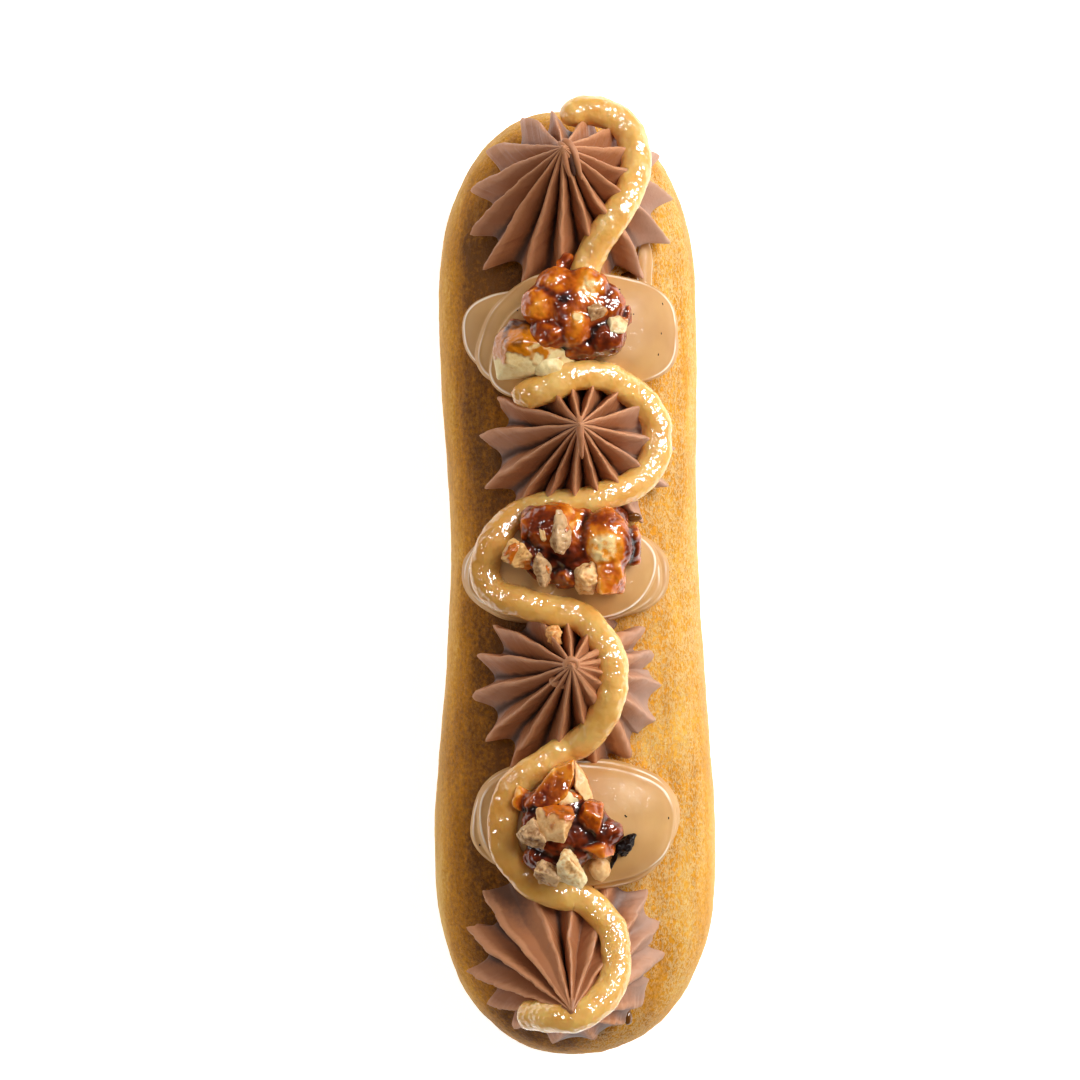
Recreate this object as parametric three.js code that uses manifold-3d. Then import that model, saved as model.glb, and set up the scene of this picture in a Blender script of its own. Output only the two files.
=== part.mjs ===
// An eclair: a baked choux shell topped, from one end to the other, with star-piped chocolate rosettes
// and smooth cream dollops in turn, a snaking line of caramel over them, and caramelised nuts.
// Millimetres, +Z up, long axis along Y, resting on Z = 0 with the origin under the middle.
import * as THREE from 'three';
import { mergeVertices } from 'three/addons/utils/BufferGeometryUtils.js';
import { ConvexGeometry } from 'three/addons/geometries/ConvexGeometry.js';
import Module from 'manifold-3d';

const wasm = await Module();
wasm.setup();

// Choux shell sizes
const CHOUX_LENGTH = 140;
const CHOUX_UPPER_WIDTH = 38.2;
const CHOUX_UPPER_Y = 37;
const CHOUX_WAIST_WIDTH = 36.7;
const CHOUX_WAIST_Y = 6;
const CHOUX_LOWER_WIDTH = 41.6;
const CHOUX_LOWER_Y = -39;
const CHOUX_UPPER_SIDESTEP = -1.2;
const CHOUX_WIDEST_Z = 12;
const CHOUX_CROWN_Z = 27;
const CHOUX_UNDER_DEPTH = 14;
const CHOUX_CAP_LENGTH = 28.7;
const CHOUX_CAP_POWER = 2.25;
const CHOUX_END_POWER = 2.6;
const CHOUX_SECTION_POWER = 2.35;
const CHOUX_LUMP = 0.25;
const CHOUX_AROUND = 32;
const CHOUX_CAP_RINGS = 6;
const CHOUX_MIDDLE_RINGS = 10;

// Shared clearances and how far the toppings follow the crown of the shell
const GAP = 0.3;
const ROSETTE_DRAPE = 0.55;
const DOLLOP_DRAPE = 0.85;

// Chocolate rosettes: place, size of the ring of fin tips, and how far the peak leans
const ROSETTE_RING_Z = 28.5;
const ROSETTE_RISE = 15.5;
const ROSETTE_SKIRT = 5.5;
const ROSETTE_SKIRT_SHARE = 0.34;
const ROSETTE_BELLY = 1.3;
const ROSETTE_PINCH = 0.25;
const ROSETTE_VALLEY_AT_RING = 0.7;
const ROSETTE_VALLEY_AT_WAIST = 0.5;
const ROSETTE_CREST_POWER = 1.8;
const ROSETTE_LEAN_POWER = 0.85;
const ROSETTE_FINS = 15;
const ROSETTE_FIN_SWAY = 0.12;
const ROSETTE_FIN_UNEVEN = 0.05;
const ROSETTE_LEVELS = [-1, -0.42, 0, 0.17, 0.37, 0.57, 0.75, 0.9];
const ROSETTES = [
  { name: 'chocolate_rosette_1', x: -0.5, y: 54.6, radius: 14.6, lean: [-1.6, 5.4], turnDeg: 3, seed: 3 },
  { name: 'chocolate_rosette_2', x: 0.2, y: 19.0, radius: 13.9, lean: [0.0, 3.1], turnDeg: 6, seed: 7 },
  { name: 'chocolate_rosette_3', x: -1.3, y: -15.1, radius: 13.9, lean: [0.4, 4.5], turnDeg: 18, seed: 11 },
  { name: 'chocolate_rosette_4', x: -1.6, y: -53.2, radius: 14, lean: [0.8, -4.6], turnDeg: 20, seed: 19 },
];

// Cream dollops: each is laid down in overlapping folds, from the lowest to the top one,
// with the left and right ends, the middle along the length, half the breadth, and the height of the fold
const DOLLOP_PLAN_POWER = 2.3;
const DOLLOP_EDGE_POWER = 2.1;
const DOLLOP_AROUND = 24;
const DOLLOP_RINGS = 6;
const DOLLOPS = [
  {
    name: 'cream_dollop_1',
    folds: [
      { left: -16.5, right: 3, y: 35.9, half: 6.3, middleZ: 28.6, height: 4.2 },
      { left: -14.0, right: 14.6, y: 35.7, half: 8.3, middleZ: 30.4, height: 4.8 },
      { left: -12.0, right: 9, y: 34.9, half: 7.4, middleZ: 32.2, height: 3.8 },
    ],
  },
  {
    name: 'cream_dollop_2',
    folds: [
      { left: -16.4, right: 13.3, y: 1.8, half: 7.0, middleZ: 28.6, height: 4.2 },
      { left: -15.0, right: 11.5, y: 2.2, half: 7.4, middleZ: 30.4, height: 4.6 },
      { left: -13.0, right: 9.5, y: 2.4, half: 6.6, middleZ: 32.2, height: 3.8 },
    ],
  },
  {
    name: 'cream_dollop_3',
    folds: [
      { left: -14.9, right: 9, y: -33.6, half: 8.6, middleZ: 28.6, height: 4.2 },
      { left: -12.6, right: 14.7, y: -33.8, half: 9.3, middleZ: 30.4, height: 4.8 },
      { left: -10.0, right: 12.0, y: -33.8, half: 8.0, middleZ: 32.2, height: 3.8 },
    ],
  },
];

// Caramel line: its thickness, and the bends of its route seen from above, by the cream it lies on
const CARAMEL_WIDTH = 3.8;
const CARAMEL_HEIGHT = 3.3;
const CARAMEL_SEAT = 0.3;
const CARAMEL_END = 0.9;
const CARAMEL_AROUND = 8;
const CARAMEL_STEP = 2.1;
const CARAMEL_LEVELLING = 2;
const CARAMEL_STRETCHES = [
  {
    on: 'chocolate_rosette_1',
    startsFree: true,
    endsFree: true,
    bends: [
      [-1.3, 66.2], [1.4, 67.0], [4.9, 65.8], [7.5, 63.0],
      [8.3, 58.8], [7.0, 54.4], [4.1, 49.8], [1.3, 45.4],
    ],
  },
  {
    on: 'chocolate_rosette_2',
    startsFree: true,
    endsFree: false,
    bends: [
      [-8.2, 25.9], [-4.9, 27.3], [-1.2, 29.0], [3.3, 29.4], [8.0, 26.8], [11.0, 21.6],
      [9.8, 16.0], [5.4, 13.1], [0.4, 11.5], [-4.9, 11.0], [-9.2, 9.0],
    ],
  },
  {
    on: 'cream_dollop_2',
    startsFree: false,
    endsFree: false,
    bends: [[-9.2, 9.0], [-12.0, 5.6], [-12.7, 1.9], [-11.0, -1.2], [-6.2, -2.8], [0.1, -4.2]],
  },
  {
    on: 'chocolate_rosette_3',
    startsFree: false,
    endsFree: false,
    bends: [[0.1, -4.2], [3.0, -6.9], [4.9, -11.2], [4.6, -16.0], [2.6, -19.8], [-0.6, -22.5]],
  },
  {
    on: 'cream_dollop_3',
    startsFree: false,
    endsFree: false,
    bends: [
      [-0.6, -22.5], [-5.2, -25.3], [-9.2, -28.8], [-10.5, -33.7],
      [-9.4, -38.2], [-6.0, -41.7], [-2.0, -43.2],
    ],
  },
  {
    on: 'chocolate_rosette_4',
    startsFree: false,
    endsFree: true,
    bends: [
      [-2.0, -43.2], [1.9, -44.4], [4.8, -48.0], [5.5, -52.4],
      [4.2, -56.5], [0.8, -59.2], [-4.0, -59.6], [-8.4, -59.1],
    ],
  },
];

// Caramelised nuts: broken pieces stuck together, each with its place, half sizes and rise above the cream
const NUT_CORNERS = 15;
const NUT_UNEVEN = 0.14;
const NUTS = [
  {
    name: 'nut_cluster_1',
    seed: 5,
    pieces: [
      { x: -4.0, y: 38.6, size: [3.4, 4.6, 3.4], rise: 1.8 },
      { x: 0.2, y: 42.0, size: [4.6, 4.0, 3.8], rise: 2.2 },
      { x: 0.4, y: 36.4, size: [4.8, 4.4, 3.8], rise: 2.4 },
      { x: 3.9, y: 38.4, size: [3.8, 4.6, 3.2], rise: 1.8 },
    ],
  },
  {
    name: 'nut_piece',
    seed: 13,
    pieces: [{ x: -7.3, y: 31.8, size: [4.6, 3.6, 3.2], rise: 1.8 }],
  },
  {
    name: 'nut_cluster_2',
    seed: 17,
    pieces: [
      { x: -7.6, y: 4.4, size: [2.8, 2.8, 2.6], rise: 1.6 },
      { x: -3.3, y: 7.2, size: [5.2, 4.2, 4.0], rise: 2.6 },
      { x: 3.7, y: 5.8, size: [4.9, 5.4, 4.2], rise: 2.6 },
      { x: -3.2, y: 2.4, size: [4.4, 3.6, 3.4], rise: 1.8 },
      { x: 1.4, y: 1.2, size: [3.8, 3.2, 3.0], rise: 1.6 },
    ],
  },
  {
    name: 'nut_cluster_3',
    seed: 23,
    pieces: [
      { x: -2.4, y: -27.0, size: [4.6, 4.0, 3.4], rise: 2.0 },
      { x: -2.6, y: -32.2, size: [5.0, 4.2, 3.8], rise: 2.4 },
      { x: -2.0, y: -37.4, size: [4.4, 3.8, 3.4], rise: 2.0 },
      { x: 2.6, y: -37.0, size: [3.8, 3.6, 3.2], rise: 1.8 },
      { x: 3.6, y: -32.6, size: [4.0, 4.2, 3.2], rise: 1.8 },
    ],
  },
];

// Colours and surfaces, judged from the photograph
const CHOUX_SURFACE = { color: 0xd9a253, roughness: 0.75, metalness: 0 };
const CHOCOLATE_SURFACE = { color: 0x94603c, roughness: 0.6, metalness: 0 };
const CREAM_SURFACE = { color: 0xe0b27a, roughness: 0.4, metalness: 0 };
const NUT_SURFACE = { color: 0xb06a2c, roughness: 0.3, metalness: 0 };
const NUT_BARE_SURFACE = { color: 0xd9b27c, roughness: 0.6, metalness: 0 };

const smooth = (t) => t * t * (3 - 2 * t);
const clamp01 = (t) => Math.min(1, Math.max(0, t));
const blend = (a, b, t) => a + (b - a) * smooth(clamp01(t));

// A steady spread of values from -1 to 1, the same each time
function scatter(k, seed) {
  return (Math.sin(k * 12.9898 + seed * 78.233) * 43758.5453) % 1;
}

// A closed solid skinned over rings of equal count, with a pole point at each end
function loft(startPole, rings, endPole) {
  const count = rings[0].length;
  const points = [startPole, ...rings.flat(), endPole];
  const last = points.length - 1;
  const at = (ring, k) => 1 + ring * count + (k % count);
  const faces = [];
  for (let k = 0; k < count; k += 1) {
    faces.push(0, at(0, k + 1), at(0, k));
    faces.push(last, at(rings.length - 1, k), at(rings.length - 1, k + 1));
    for (let r = 0; r + 1 < rings.length; r += 1) {
      faces.push(at(r, k), at(r, k + 1), at(r + 1, k + 1));
      faces.push(at(r, k), at(r + 1, k + 1), at(r + 1, k));
    }
  }
  const geometry = new THREE.BufferGeometry().setFromPoints(points);
  geometry.setIndex(faces);
  return geometry;
}

function toSolid(geometry) {
  const bare = geometry.clone();
  bare.deleteAttribute('normal');
  bare.deleteAttribute('uv');
  const merged = mergeVertices(bare, 1e-4);
  const mesh = new wasm.Mesh({
    numProp: 3,
    vertProperties: new Float32Array(merged.attributes.position.array),
    triVerts: new Uint32Array(merged.index.array),
  });
  return new wasm.Manifold(mesh);
}

function toGeometry(solid) {
  const mesh = solid.getMesh();
  const geometry = new THREE.BufferGeometry();
  geometry.setAttribute('position', new THREE.BufferAttribute(new Float32Array(mesh.vertProperties), 3));
  geometry.setIndex(new THREE.BufferAttribute(new Uint32Array(mesh.triVerts), 1));
  geometry.computeVertexNormals();
  return geometry;
}

// Choux shell, gently waisted, with one end a little wider than the other
function chouxHalfWidth(y) {
  if (y > CHOUX_WAIST_Y) {
    const t = (y - CHOUX_WAIST_Y) / (CHOUX_UPPER_Y - CHOUX_WAIST_Y);
    return blend(CHOUX_WAIST_WIDTH, CHOUX_UPPER_WIDTH, t) / 2;
  }
  const t = (CHOUX_WAIST_Y - y) / (CHOUX_WAIST_Y - CHOUX_LOWER_Y);
  return blend(CHOUX_WAIST_WIDTH, CHOUX_LOWER_WIDTH, t) / 2;
}

function chouxMiddleX(y) {
  return CHOUX_UPPER_SIDESTEP * smooth(clamp01(y / (CHOUX_LENGTH / 3)));
}

// How full the shell still is at a place along its length, across and in height
function chouxCap(y, grow) {
  const start = CHOUX_LENGTH / 2 - CHOUX_CAP_LENGTH;
  const u = Math.min(0.9999, Math.max(0, Math.abs(y) - start) / (CHOUX_CAP_LENGTH + grow));
  const across = (1 - u ** CHOUX_CAP_POWER) ** (1 / CHOUX_CAP_POWER);
  const upward = (1 - u ** CHOUX_END_POWER) ** (1 / CHOUX_END_POWER);
  return { across, upward };
}

function chouxRing(y, grow) {
  const cap = chouxCap(y, grow);
  const halfWidth = (chouxHalfWidth(y) + grow) * cap.across;
  const ring = [];
  for (let k = 0; k < CHOUX_AROUND; k += 1) {
    const angle = (k / CHOUX_AROUND) * 2 * Math.PI;
    const c = Math.cos(angle);
    const s = Math.sin(angle);
    const lump = CHOUX_LUMP * Math.sin(y * 0.21 + angle * 3) * cap.across;
    const side = Math.sign(c) * Math.abs(c) ** (2 / CHOUX_SECTION_POWER);
    const up = Math.sign(s) * Math.abs(s) ** (2 / CHOUX_SECTION_POWER);
    const height = s > 0 ? CHOUX_CROWN_Z - CHOUX_WIDEST_Z + grow : CHOUX_UNDER_DEPTH;
    const x = chouxMiddleX(y) + side * (halfWidth + lump * Math.max(0, s));
    const z = Math.max(0, CHOUX_WIDEST_Z + up * height * cap.upward);
    ring.push(new THREE.Vector3(x, y, z));
  }
  return ring;
}

function chouxShape(grow) {
  const end = CHOUX_LENGTH / 2;
  const start = end - CHOUX_CAP_LENGTH;
  const stations = [];
  for (let k = CHOUX_CAP_RINGS; k > 0; k -= 1) {
    const reach = (CHOUX_CAP_LENGTH + grow) * Math.sin(((k - 0.12) / CHOUX_CAP_RINGS) * (Math.PI / 2));
    stations.push(start + reach);
  }
  for (let k = 0; k <= CHOUX_MIDDLE_RINGS; k += 1) {
    stations.push(start - (2 * start * k) / CHOUX_MIDDLE_RINGS);
  }
  for (let k = 1; k <= CHOUX_CAP_RINGS; k += 1) {
    const reach = (CHOUX_CAP_LENGTH + grow) * Math.sin(((k - 0.12) / CHOUX_CAP_RINGS) * (Math.PI / 2));
    stations.push(-start - reach);
  }
  const upper = new THREE.Vector3(chouxMiddleX(end), end + grow, CHOUX_WIDEST_Z);
  const lower = new THREE.Vector3(0, -end - grow, CHOUX_WIDEST_Z);
  return loft(upper, stations.map((y) => chouxRing(y, grow)), lower);
}

// Height of the top of the shell over a place in plan
function chouxTop(x, y) {
  const cap = chouxCap(y, 0);
  const share = Math.min(0.93, Math.abs(x - chouxMiddleX(y)) / (chouxHalfWidth(y) * cap.across + 0.01));
  const up = (1 - share ** CHOUX_SECTION_POWER) ** (1 / CHOUX_SECTION_POWER);
  return CHOUX_WIDEST_Z + (CHOUX_CROWN_Z - CHOUX_WIDEST_Z) * cap.upward * up;
}

// Soft toppings sink towards the rounded sides and ends of the shell
function drape(x, y, share) {
  return share * (CHOUX_CROWN_Z - chouxTop(x, y));
}

// Reach of the fin tips of a rosette at a level: -1 at the foot, 0 at the ring of tips, 1 at the peak
function rosetteReach(level) {
  if (level < 0) {
    return 1 - ROSETTE_SKIRT_SHARE * Math.abs(level) ** 0.85;
  }
  return (1 - level ** ROSETTE_BELLY) * (1 - ROSETTE_PINCH * level);
}

// How far out the valleys between the fins lie, as a share of the tips
function rosetteValley(level) {
  if (level < 0) {
    return ROSETTE_VALLEY_AT_RING + 0.12 * Math.abs(level);
  }
  const deepening = blend(ROSETTE_VALLEY_AT_RING, ROSETTE_VALLEY_AT_WAIST, level / 0.6);
  return blend(deepening, 0.8, (level - 0.75) / 0.25);
}

function rosetteMiddle(rosette, level) {
  const share = Math.max(0, level) ** ROSETTE_LEAN_POWER;
  return [rosette.x + rosette.lean[0] * share, rosette.y + rosette.lean[1] * share];
}

function rosetteHeight(level) {
  return level < 0 ? ROSETTE_RING_Z + level * ROSETTE_SKIRT : ROSETTE_RING_Z + level * ROSETTE_RISE;
}

// Direction and length of one fin of a rosette, each a little different from its neighbours
function rosetteFin(rosette, count) {
  const fin = count % ROSETTE_FINS;
  const sway = ROSETTE_FIN_SWAY * scatter(fin, rosette.seed);
  const angle = ((count + sway) / ROSETTE_FINS) * 2 * Math.PI + (rosette.turnDeg / 180) * Math.PI;
  const length = 1 + ROSETTE_FIN_UNEVEN * scatter(fin + 40, rosette.seed);
  return { angle, length };
}

function rosetteRing(rosette, level) {
  const [middleX, middleY] = rosetteMiddle(rosette, level);
  const reach = rosette.radius * rosetteReach(level);
  const valley = rosetteValley(level);
  const ring = [];
  for (let count = 0; count < ROSETTE_FINS; count += 1) {
    const fin = rosetteFin(rosette, count);
    const next = rosetteFin(rosette, count + 1);
    for (let quarter = 0; quarter < 4; quarter += 1) {
      const t = quarter / 4;
      const depth = 1 - Math.abs(1 - 2 * t) ** ROSETTE_CREST_POWER;
      const angle = fin.angle + (next.angle - fin.angle) * t;
      const length = fin.length + (next.length - fin.length) * t;
      const radius = reach * length * (1 - (1 - valley) * depth);
      const x = middleX + radius * Math.cos(angle);
      const y = middleY + radius * Math.sin(angle);
      ring.push(new THREE.Vector3(x, y, rosetteHeight(level) - drape(x, y, ROSETTE_DRAPE)));
    }
  }
  return ring;
}

function rosetteShape(rosette) {
  const rings = ROSETTE_LEVELS.map((level) => rosetteRing(rosette, level));
  const [peakX, peakY] = rosetteMiddle(rosette, 1);
  const peak = new THREE.Vector3(peakX, peakY, rosetteHeight(1) - drape(peakX, peakY, ROSETTE_DRAPE));
  const footZ = rosetteHeight(-1) - drape(rosette.x, rosette.y, ROSETTE_DRAPE);
  return loft(new THREE.Vector3(rosette.x, rosette.y, footZ), rings, peak);
}

// A plain round body over the fin tips, used to keep neighbours clear of a rosette
function rosetteEnvelope(rosette, grow) {
  const around = 24;
  const widest = rosette.radius * (1 + ROSETTE_FIN_UNEVEN);
  const rings = ROSETTE_LEVELS.map((level) => {
    const [middleX, middleY] = rosetteMiddle(rosette, level);
    const radius = widest * rosetteReach(level) + grow;
    const ring = [];
    for (let k = 0; k < around; k += 1) {
      const angle = (k / around) * 2 * Math.PI;
      const x = middleX + radius * Math.cos(angle);
      const y = middleY + radius * Math.sin(angle);
      ring.push(new THREE.Vector3(x, y, rosetteHeight(level) + grow - drape(x, y, ROSETTE_DRAPE)));
    }
    return ring;
  });
  const [peakX, peakY] = rosetteMiddle(rosette, 1);
  const peakZ = rosetteHeight(1) + 2 * grow - drape(peakX, peakY, ROSETTE_DRAPE);
  const foot = new THREE.Vector3(rosette.x, rosette.y, CHOUX_WIDEST_Z);
  return loft(foot, rings, new THREE.Vector3(peakX, peakY, peakZ));
}

// Height of the crests of a rosette over a place in plan, or of the ground if it doesn't reach there
function rosetteTop(rosette, x, y) {
  for (let level = 1; level >= 0; level -= 0.01) {
    const [middleX, middleY] = rosetteMiddle(rosette, level);
    if (Math.hypot(x - middleX, y - middleY) <= rosette.radius * rosetteReach(level)) {
      return rosetteHeight(level) - drape(x, y, ROSETTE_DRAPE);
    }
  }
  return 0;
}

// One fold of a dollop: a flattened rounded cushion
function foldShape(fold, grow) {
  const halfX = (fold.right - fold.left) / 2 + grow;
  const middleX = (fold.right + fold.left) / 2;
  const place = (share, level, angle) => {
    const c = Math.cos(angle);
    const s = Math.sin(angle);
    const x = middleX + halfX * share * Math.sign(c) * Math.abs(c) ** (2 / DOLLOP_PLAN_POWER);
    const y = fold.y + (fold.half + grow) * share * Math.sign(s) * Math.abs(s) ** (2 / DOLLOP_PLAN_POWER);
    return new THREE.Vector3(x, y, fold.middleZ + (fold.height + grow) * level - drape(x, y, DOLLOP_DRAPE));
  };
  const rings = [];
  for (let r = 1; r <= DOLLOP_RINGS; r += 1) {
    const lift = -Math.PI / 2 + (r / (DOLLOP_RINGS + 1)) * Math.PI;
    const share = Math.cos(lift) ** (2 / DOLLOP_EDGE_POWER);
    const ring = [];
    for (let k = 0; k < DOLLOP_AROUND; k += 1) {
      ring.push(place(share, Math.sin(lift), (k / DOLLOP_AROUND) * 2 * Math.PI));
    }
    rings.push(ring);
  }
  return loft(place(0, -1, 0), rings, place(0, 1, 0));
}

function dollopSolid(dollop, grow) {
  return dollop.folds.map((fold) => toSolid(foldShape(fold, grow))).reduce((all, one) => all.add(one));
}

function foldTop(fold, x, y) {
  const shareX = Math.abs(x - (fold.right + fold.left) / 2) / ((fold.right - fold.left) / 2);
  const shareY = Math.abs(y - fold.y) / fold.half;
  const out = (shareX ** DOLLOP_PLAN_POWER + shareY ** DOLLOP_PLAN_POWER) ** (1 / DOLLOP_PLAN_POWER);
  if (out >= 1) {
    return 0;
  }
  const rise = fold.height * (1 - out ** DOLLOP_EDGE_POWER) ** (1 / DOLLOP_EDGE_POWER);
  return fold.middleZ + rise - drape(x, y, DOLLOP_DRAPE);
}

function creamTop(x, y) {
  const heights = [chouxTop(x, y)];
  ROSETTES.forEach((rosette) => heights.push(rosetteTop(rosette, x, y)));
  DOLLOPS.forEach((dollop) => dollop.folds.forEach((fold) => heights.push(foldTop(fold, x, y))));
  return Math.max(...heights);
}

// The route of one stretch in plan, cut back at an end where the line carries on over the next cream
function caramelPlan(bends, cutStart, cutEnd) {
  const corners = bends.map(([x, y]) => new THREE.Vector3(x, y, 0));
  const plan = new THREE.CatmullRomCurve3(corners, false, 'centripetal');
  const length = plan.getLength();
  const from = cutStart / length;
  const to = 1 - cutEnd / length;
  const steps = Math.round(length / CARAMEL_STEP);
  const points = [];
  for (let k = 0; k <= steps; k += 1) {
    points.push(plan.getPointAt(from + ((to - from) * k) / steps));
  }
  return points;
}

// A stretch of the caramel line, lying over the cream and levelled a little along its way
function caramelShape(plan, grow) {
  const heights = plan.map((p) => creamTop(p.x, p.y));
  const centre = plan.map((p, k) => {
    const near = heights.slice(Math.max(0, k - CARAMEL_LEVELLING), k + CARAMEL_LEVELLING + 1);
    const level = near.reduce((sum, height) => sum + height, 0) / near.length;
    return new THREE.Vector3(p.x, p.y, level + CARAMEL_HEIGHT * CARAMEL_SEAT);
  });
  const last = centre.length - 1;
  const rings = centre.map((p, k) => {
    const along = centre[Math.min(k + 1, last)].clone().sub(centre[Math.max(k - 1, 0)]);
    const across = new THREE.Vector3(along.y, -along.x, 0).normalize();
    const ring = [];
    for (let c = 0; c < CARAMEL_AROUND; c += 1) {
      const angle = (-c / CARAMEL_AROUND) * 2 * Math.PI;
      const side = (CARAMEL_WIDTH / 2 + grow) * Math.cos(angle);
      const up = (CARAMEL_HEIGHT / 2 + grow) * Math.sin(angle);
      ring.push(p.clone().addScaledVector(across, side).add(new THREE.Vector3(0, 0, up)));
    }
    return ring;
  });
  const rounded = (end, before) => {
    const outward = end.clone().sub(before).normalize();
    return end.clone().addScaledVector(outward, CARAMEL_END + grow);
  };
  return loft(rounded(centre[0], centre[1]), rings, rounded(centre[last], centre[last - 1]));
}

// One broken nut: the hull of corners spread over a flattened ball
function nutPiece(piece, seed) {
  const middle = new THREE.Vector3(piece.x, piece.y, creamTop(piece.x, piece.y) + piece.rise);
  const corners = [];
  for (let k = 0; k < NUT_CORNERS; k += 1) {
    const level = 1 - (2 * (k + 0.5)) / NUT_CORNERS;
    const turn = k * 2.399963 + seed + 0.4 * scatter(k, seed);
    const round = Math.sqrt(1 - level * level);
    const out = 1 + NUT_UNEVEN * scatter(k + 60, seed);
    const corner = new THREE.Vector3(round * Math.cos(turn), round * Math.sin(turn), level);
    corner.multiply(new THREE.Vector3(...piece.size)).multiplyScalar(out);
    corners.push(corner.add(middle));
  }
  return toSolid(new ConvexGeometry(corners));
}

// Solids, each kept a small gap clear of the ones it lies on or against
const without = (solid, others) => others.reduce((left, other) => left.subtract(other), solid);
const choux = toSolid(chouxShape(0));
const chouxClear = toSolid(chouxShape(GAP));
const envelopes = ROSETTES.map((rosette) => toSolid(rosetteEnvelope(rosette, GAP)));
const dollopsClear = DOLLOPS.map((dollop) => without(dollopSolid(dollop, GAP), envelopes));
const caramels = {};
const caramelsClear = [];
const cut = CARAMEL_END + GAP / 2;
for (const { on, bends, startsFree, endsFree } of CARAMEL_STRETCHES) {
  const plan = caramelPlan(bends, startsFree ? 0 : cut, endsFree ? 0 : cut);
  caramels[on] = toSolid(caramelShape(plan, 0));
  caramelsClear.push(toSolid(caramelShape(plan, GAP)));
}

const nodes = [{ name: 'choux_shell', solid: choux, surface: CHOUX_SURFACE }];
for (const rosette of ROSETTES) {
  const caramel = without(caramels[rosette.name], dollopsClear);
  const solid = toSolid(rosetteShape(rosette)).add(caramel).subtract(chouxClear);
  nodes.push({ name: rosette.name, solid, surface: CHOCOLATE_SURFACE });
}
for (const dollop of DOLLOPS) {
  const cream = dollopSolid(dollop, 0);
  const topped = caramels[dollop.name] ? cream.add(caramels[dollop.name]) : cream;
  const solid = without(topped, [...envelopes, chouxClear]);
  nodes.push({ name: dollop.name, solid, surface: CREAM_SURFACE });
}
for (const nut of NUTS) {
  const pieces = nut.pieces.map((piece, k) => nutPiece(piece, nut.seed + k));
  const cluster = pieces.reduce((all, one) => all.add(one));
  const solid = without(cluster, [...dollopsClear, ...envelopes, ...caramelsClear]);
  nodes.push({ name: nut.name, solid, surface: nut.name === 'nut_piece' ? NUT_BARE_SURFACE : NUT_SURFACE });
}

const group = new THREE.Group();
group.name = 'eclair';
for (const { name, solid, surface } of nodes) {
  const mesh = new THREE.Mesh(toGeometry(solid), new THREE.MeshStandardMaterial(surface));
  mesh.name = name;
  group.add(mesh);
}

export default group;
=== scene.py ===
"""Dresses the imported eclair: crust, piped creams, caramel line and caramelised nuts.

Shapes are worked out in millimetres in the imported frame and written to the
meshes in metres. The camera looks straight down, as the photograph does.
"""

import logging
import math
from dataclasses import dataclass, field
from enum import Enum
from typing import Callable, Iterable, Optional, Sequence, Union

import bmesh
import bpy
import numpy as np
from mathutils import Matrix, Vector, noise
from mathutils.bvhtree import BVHTree
from mathutils.kdtree import KDTree


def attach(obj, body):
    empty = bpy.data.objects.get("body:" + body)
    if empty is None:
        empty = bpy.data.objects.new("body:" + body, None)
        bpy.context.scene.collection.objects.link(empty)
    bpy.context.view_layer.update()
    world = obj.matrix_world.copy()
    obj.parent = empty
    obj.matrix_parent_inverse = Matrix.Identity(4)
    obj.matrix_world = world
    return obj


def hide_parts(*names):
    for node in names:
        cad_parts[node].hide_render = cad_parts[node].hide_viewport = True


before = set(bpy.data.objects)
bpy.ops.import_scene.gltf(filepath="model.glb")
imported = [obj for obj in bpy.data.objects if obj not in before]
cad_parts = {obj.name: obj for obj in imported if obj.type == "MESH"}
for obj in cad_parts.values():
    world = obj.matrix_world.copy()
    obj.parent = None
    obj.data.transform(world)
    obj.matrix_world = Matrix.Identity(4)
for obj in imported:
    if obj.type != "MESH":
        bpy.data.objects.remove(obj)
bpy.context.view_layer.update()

MM = 0.001
BODY = "root"

log = logging.getLogger("eclair")

Colour = tuple[float, float, float]
Point = tuple[float, float]
Spot = tuple[float, float, float]
Skin = tuple[np.ndarray, list]
Value = Union["Field", float]

UP = Vector((0.0, 0.0, 1.0))
DOWN = Vector((0.0, 0.0, -1.0))


class Role(Enum):
    """What a light is for."""

    FILL = "fill"
    GLINT = "glint"


class Slot(Enum):
    """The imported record's material slots."""

    CHOUX = "choux"
    CHOCOLATE = "chocolate_cream"
    PALE = "pale_cream"
    NUT = "caramelised_nut"


# Small helpers for numbers and meshes


def smooth(share: np.ndarray) -> np.ndarray:
    """Eases a share from 0 to 1, flat at both ends.

    Args:
        share: Values to ease, clipped to the range 0 to 1.

    Returns:
        The eased values.
    """
    held = np.clip(share, 0.0, 1.0)
    return held * held * (3.0 - 2.0 * held)


def linear(red: int, green: int, blue: int) -> tuple[float, float, float, float]:
    """Turns a display colour of 0 to 255 a channel into a linear colour.

    Args:
        red: Red channel.
        green: Green channel.
        blue: Blue channel.

    Returns:
        Linear red, green, blue and a full alpha.
    """
    parts = []
    for channel in (red, green, blue):
        share = channel / 255.0
        low = share <= 0.04045
        parts.append(share / 12.92 if low else ((share + 0.055) / 1.055) ** 2.4)
    return (parts[0], parts[1], parts[2], 1.0)


def soft_noise(points: np.ndarray, size: float, seed: float, octaves: int = 3) -> np.ndarray:
    """Soft noise at points in millimetres.

    Args:
        points: Rows of x, y, z.
        size: Width of one bump in millimetres.
        seed: Shifts the pattern.
        octaves: Layers of finer noise.

    Returns:
        One value near the range -1 to 1 for each row.
    """
    shift = Vector((seed * 7.31, seed * 3.17, seed * 5.93))
    scale = 1.0 / size
    return np.array(
        [noise.fractal(Vector(p) * scale + shift, 1.0, 2.0, octaves) for p in points.tolist()]
    )


def unit(rows: np.ndarray) -> np.ndarray:
    """Brings every row to length 1."""
    return rows / np.linalg.norm(rows, axis=1)[:, None]


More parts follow.
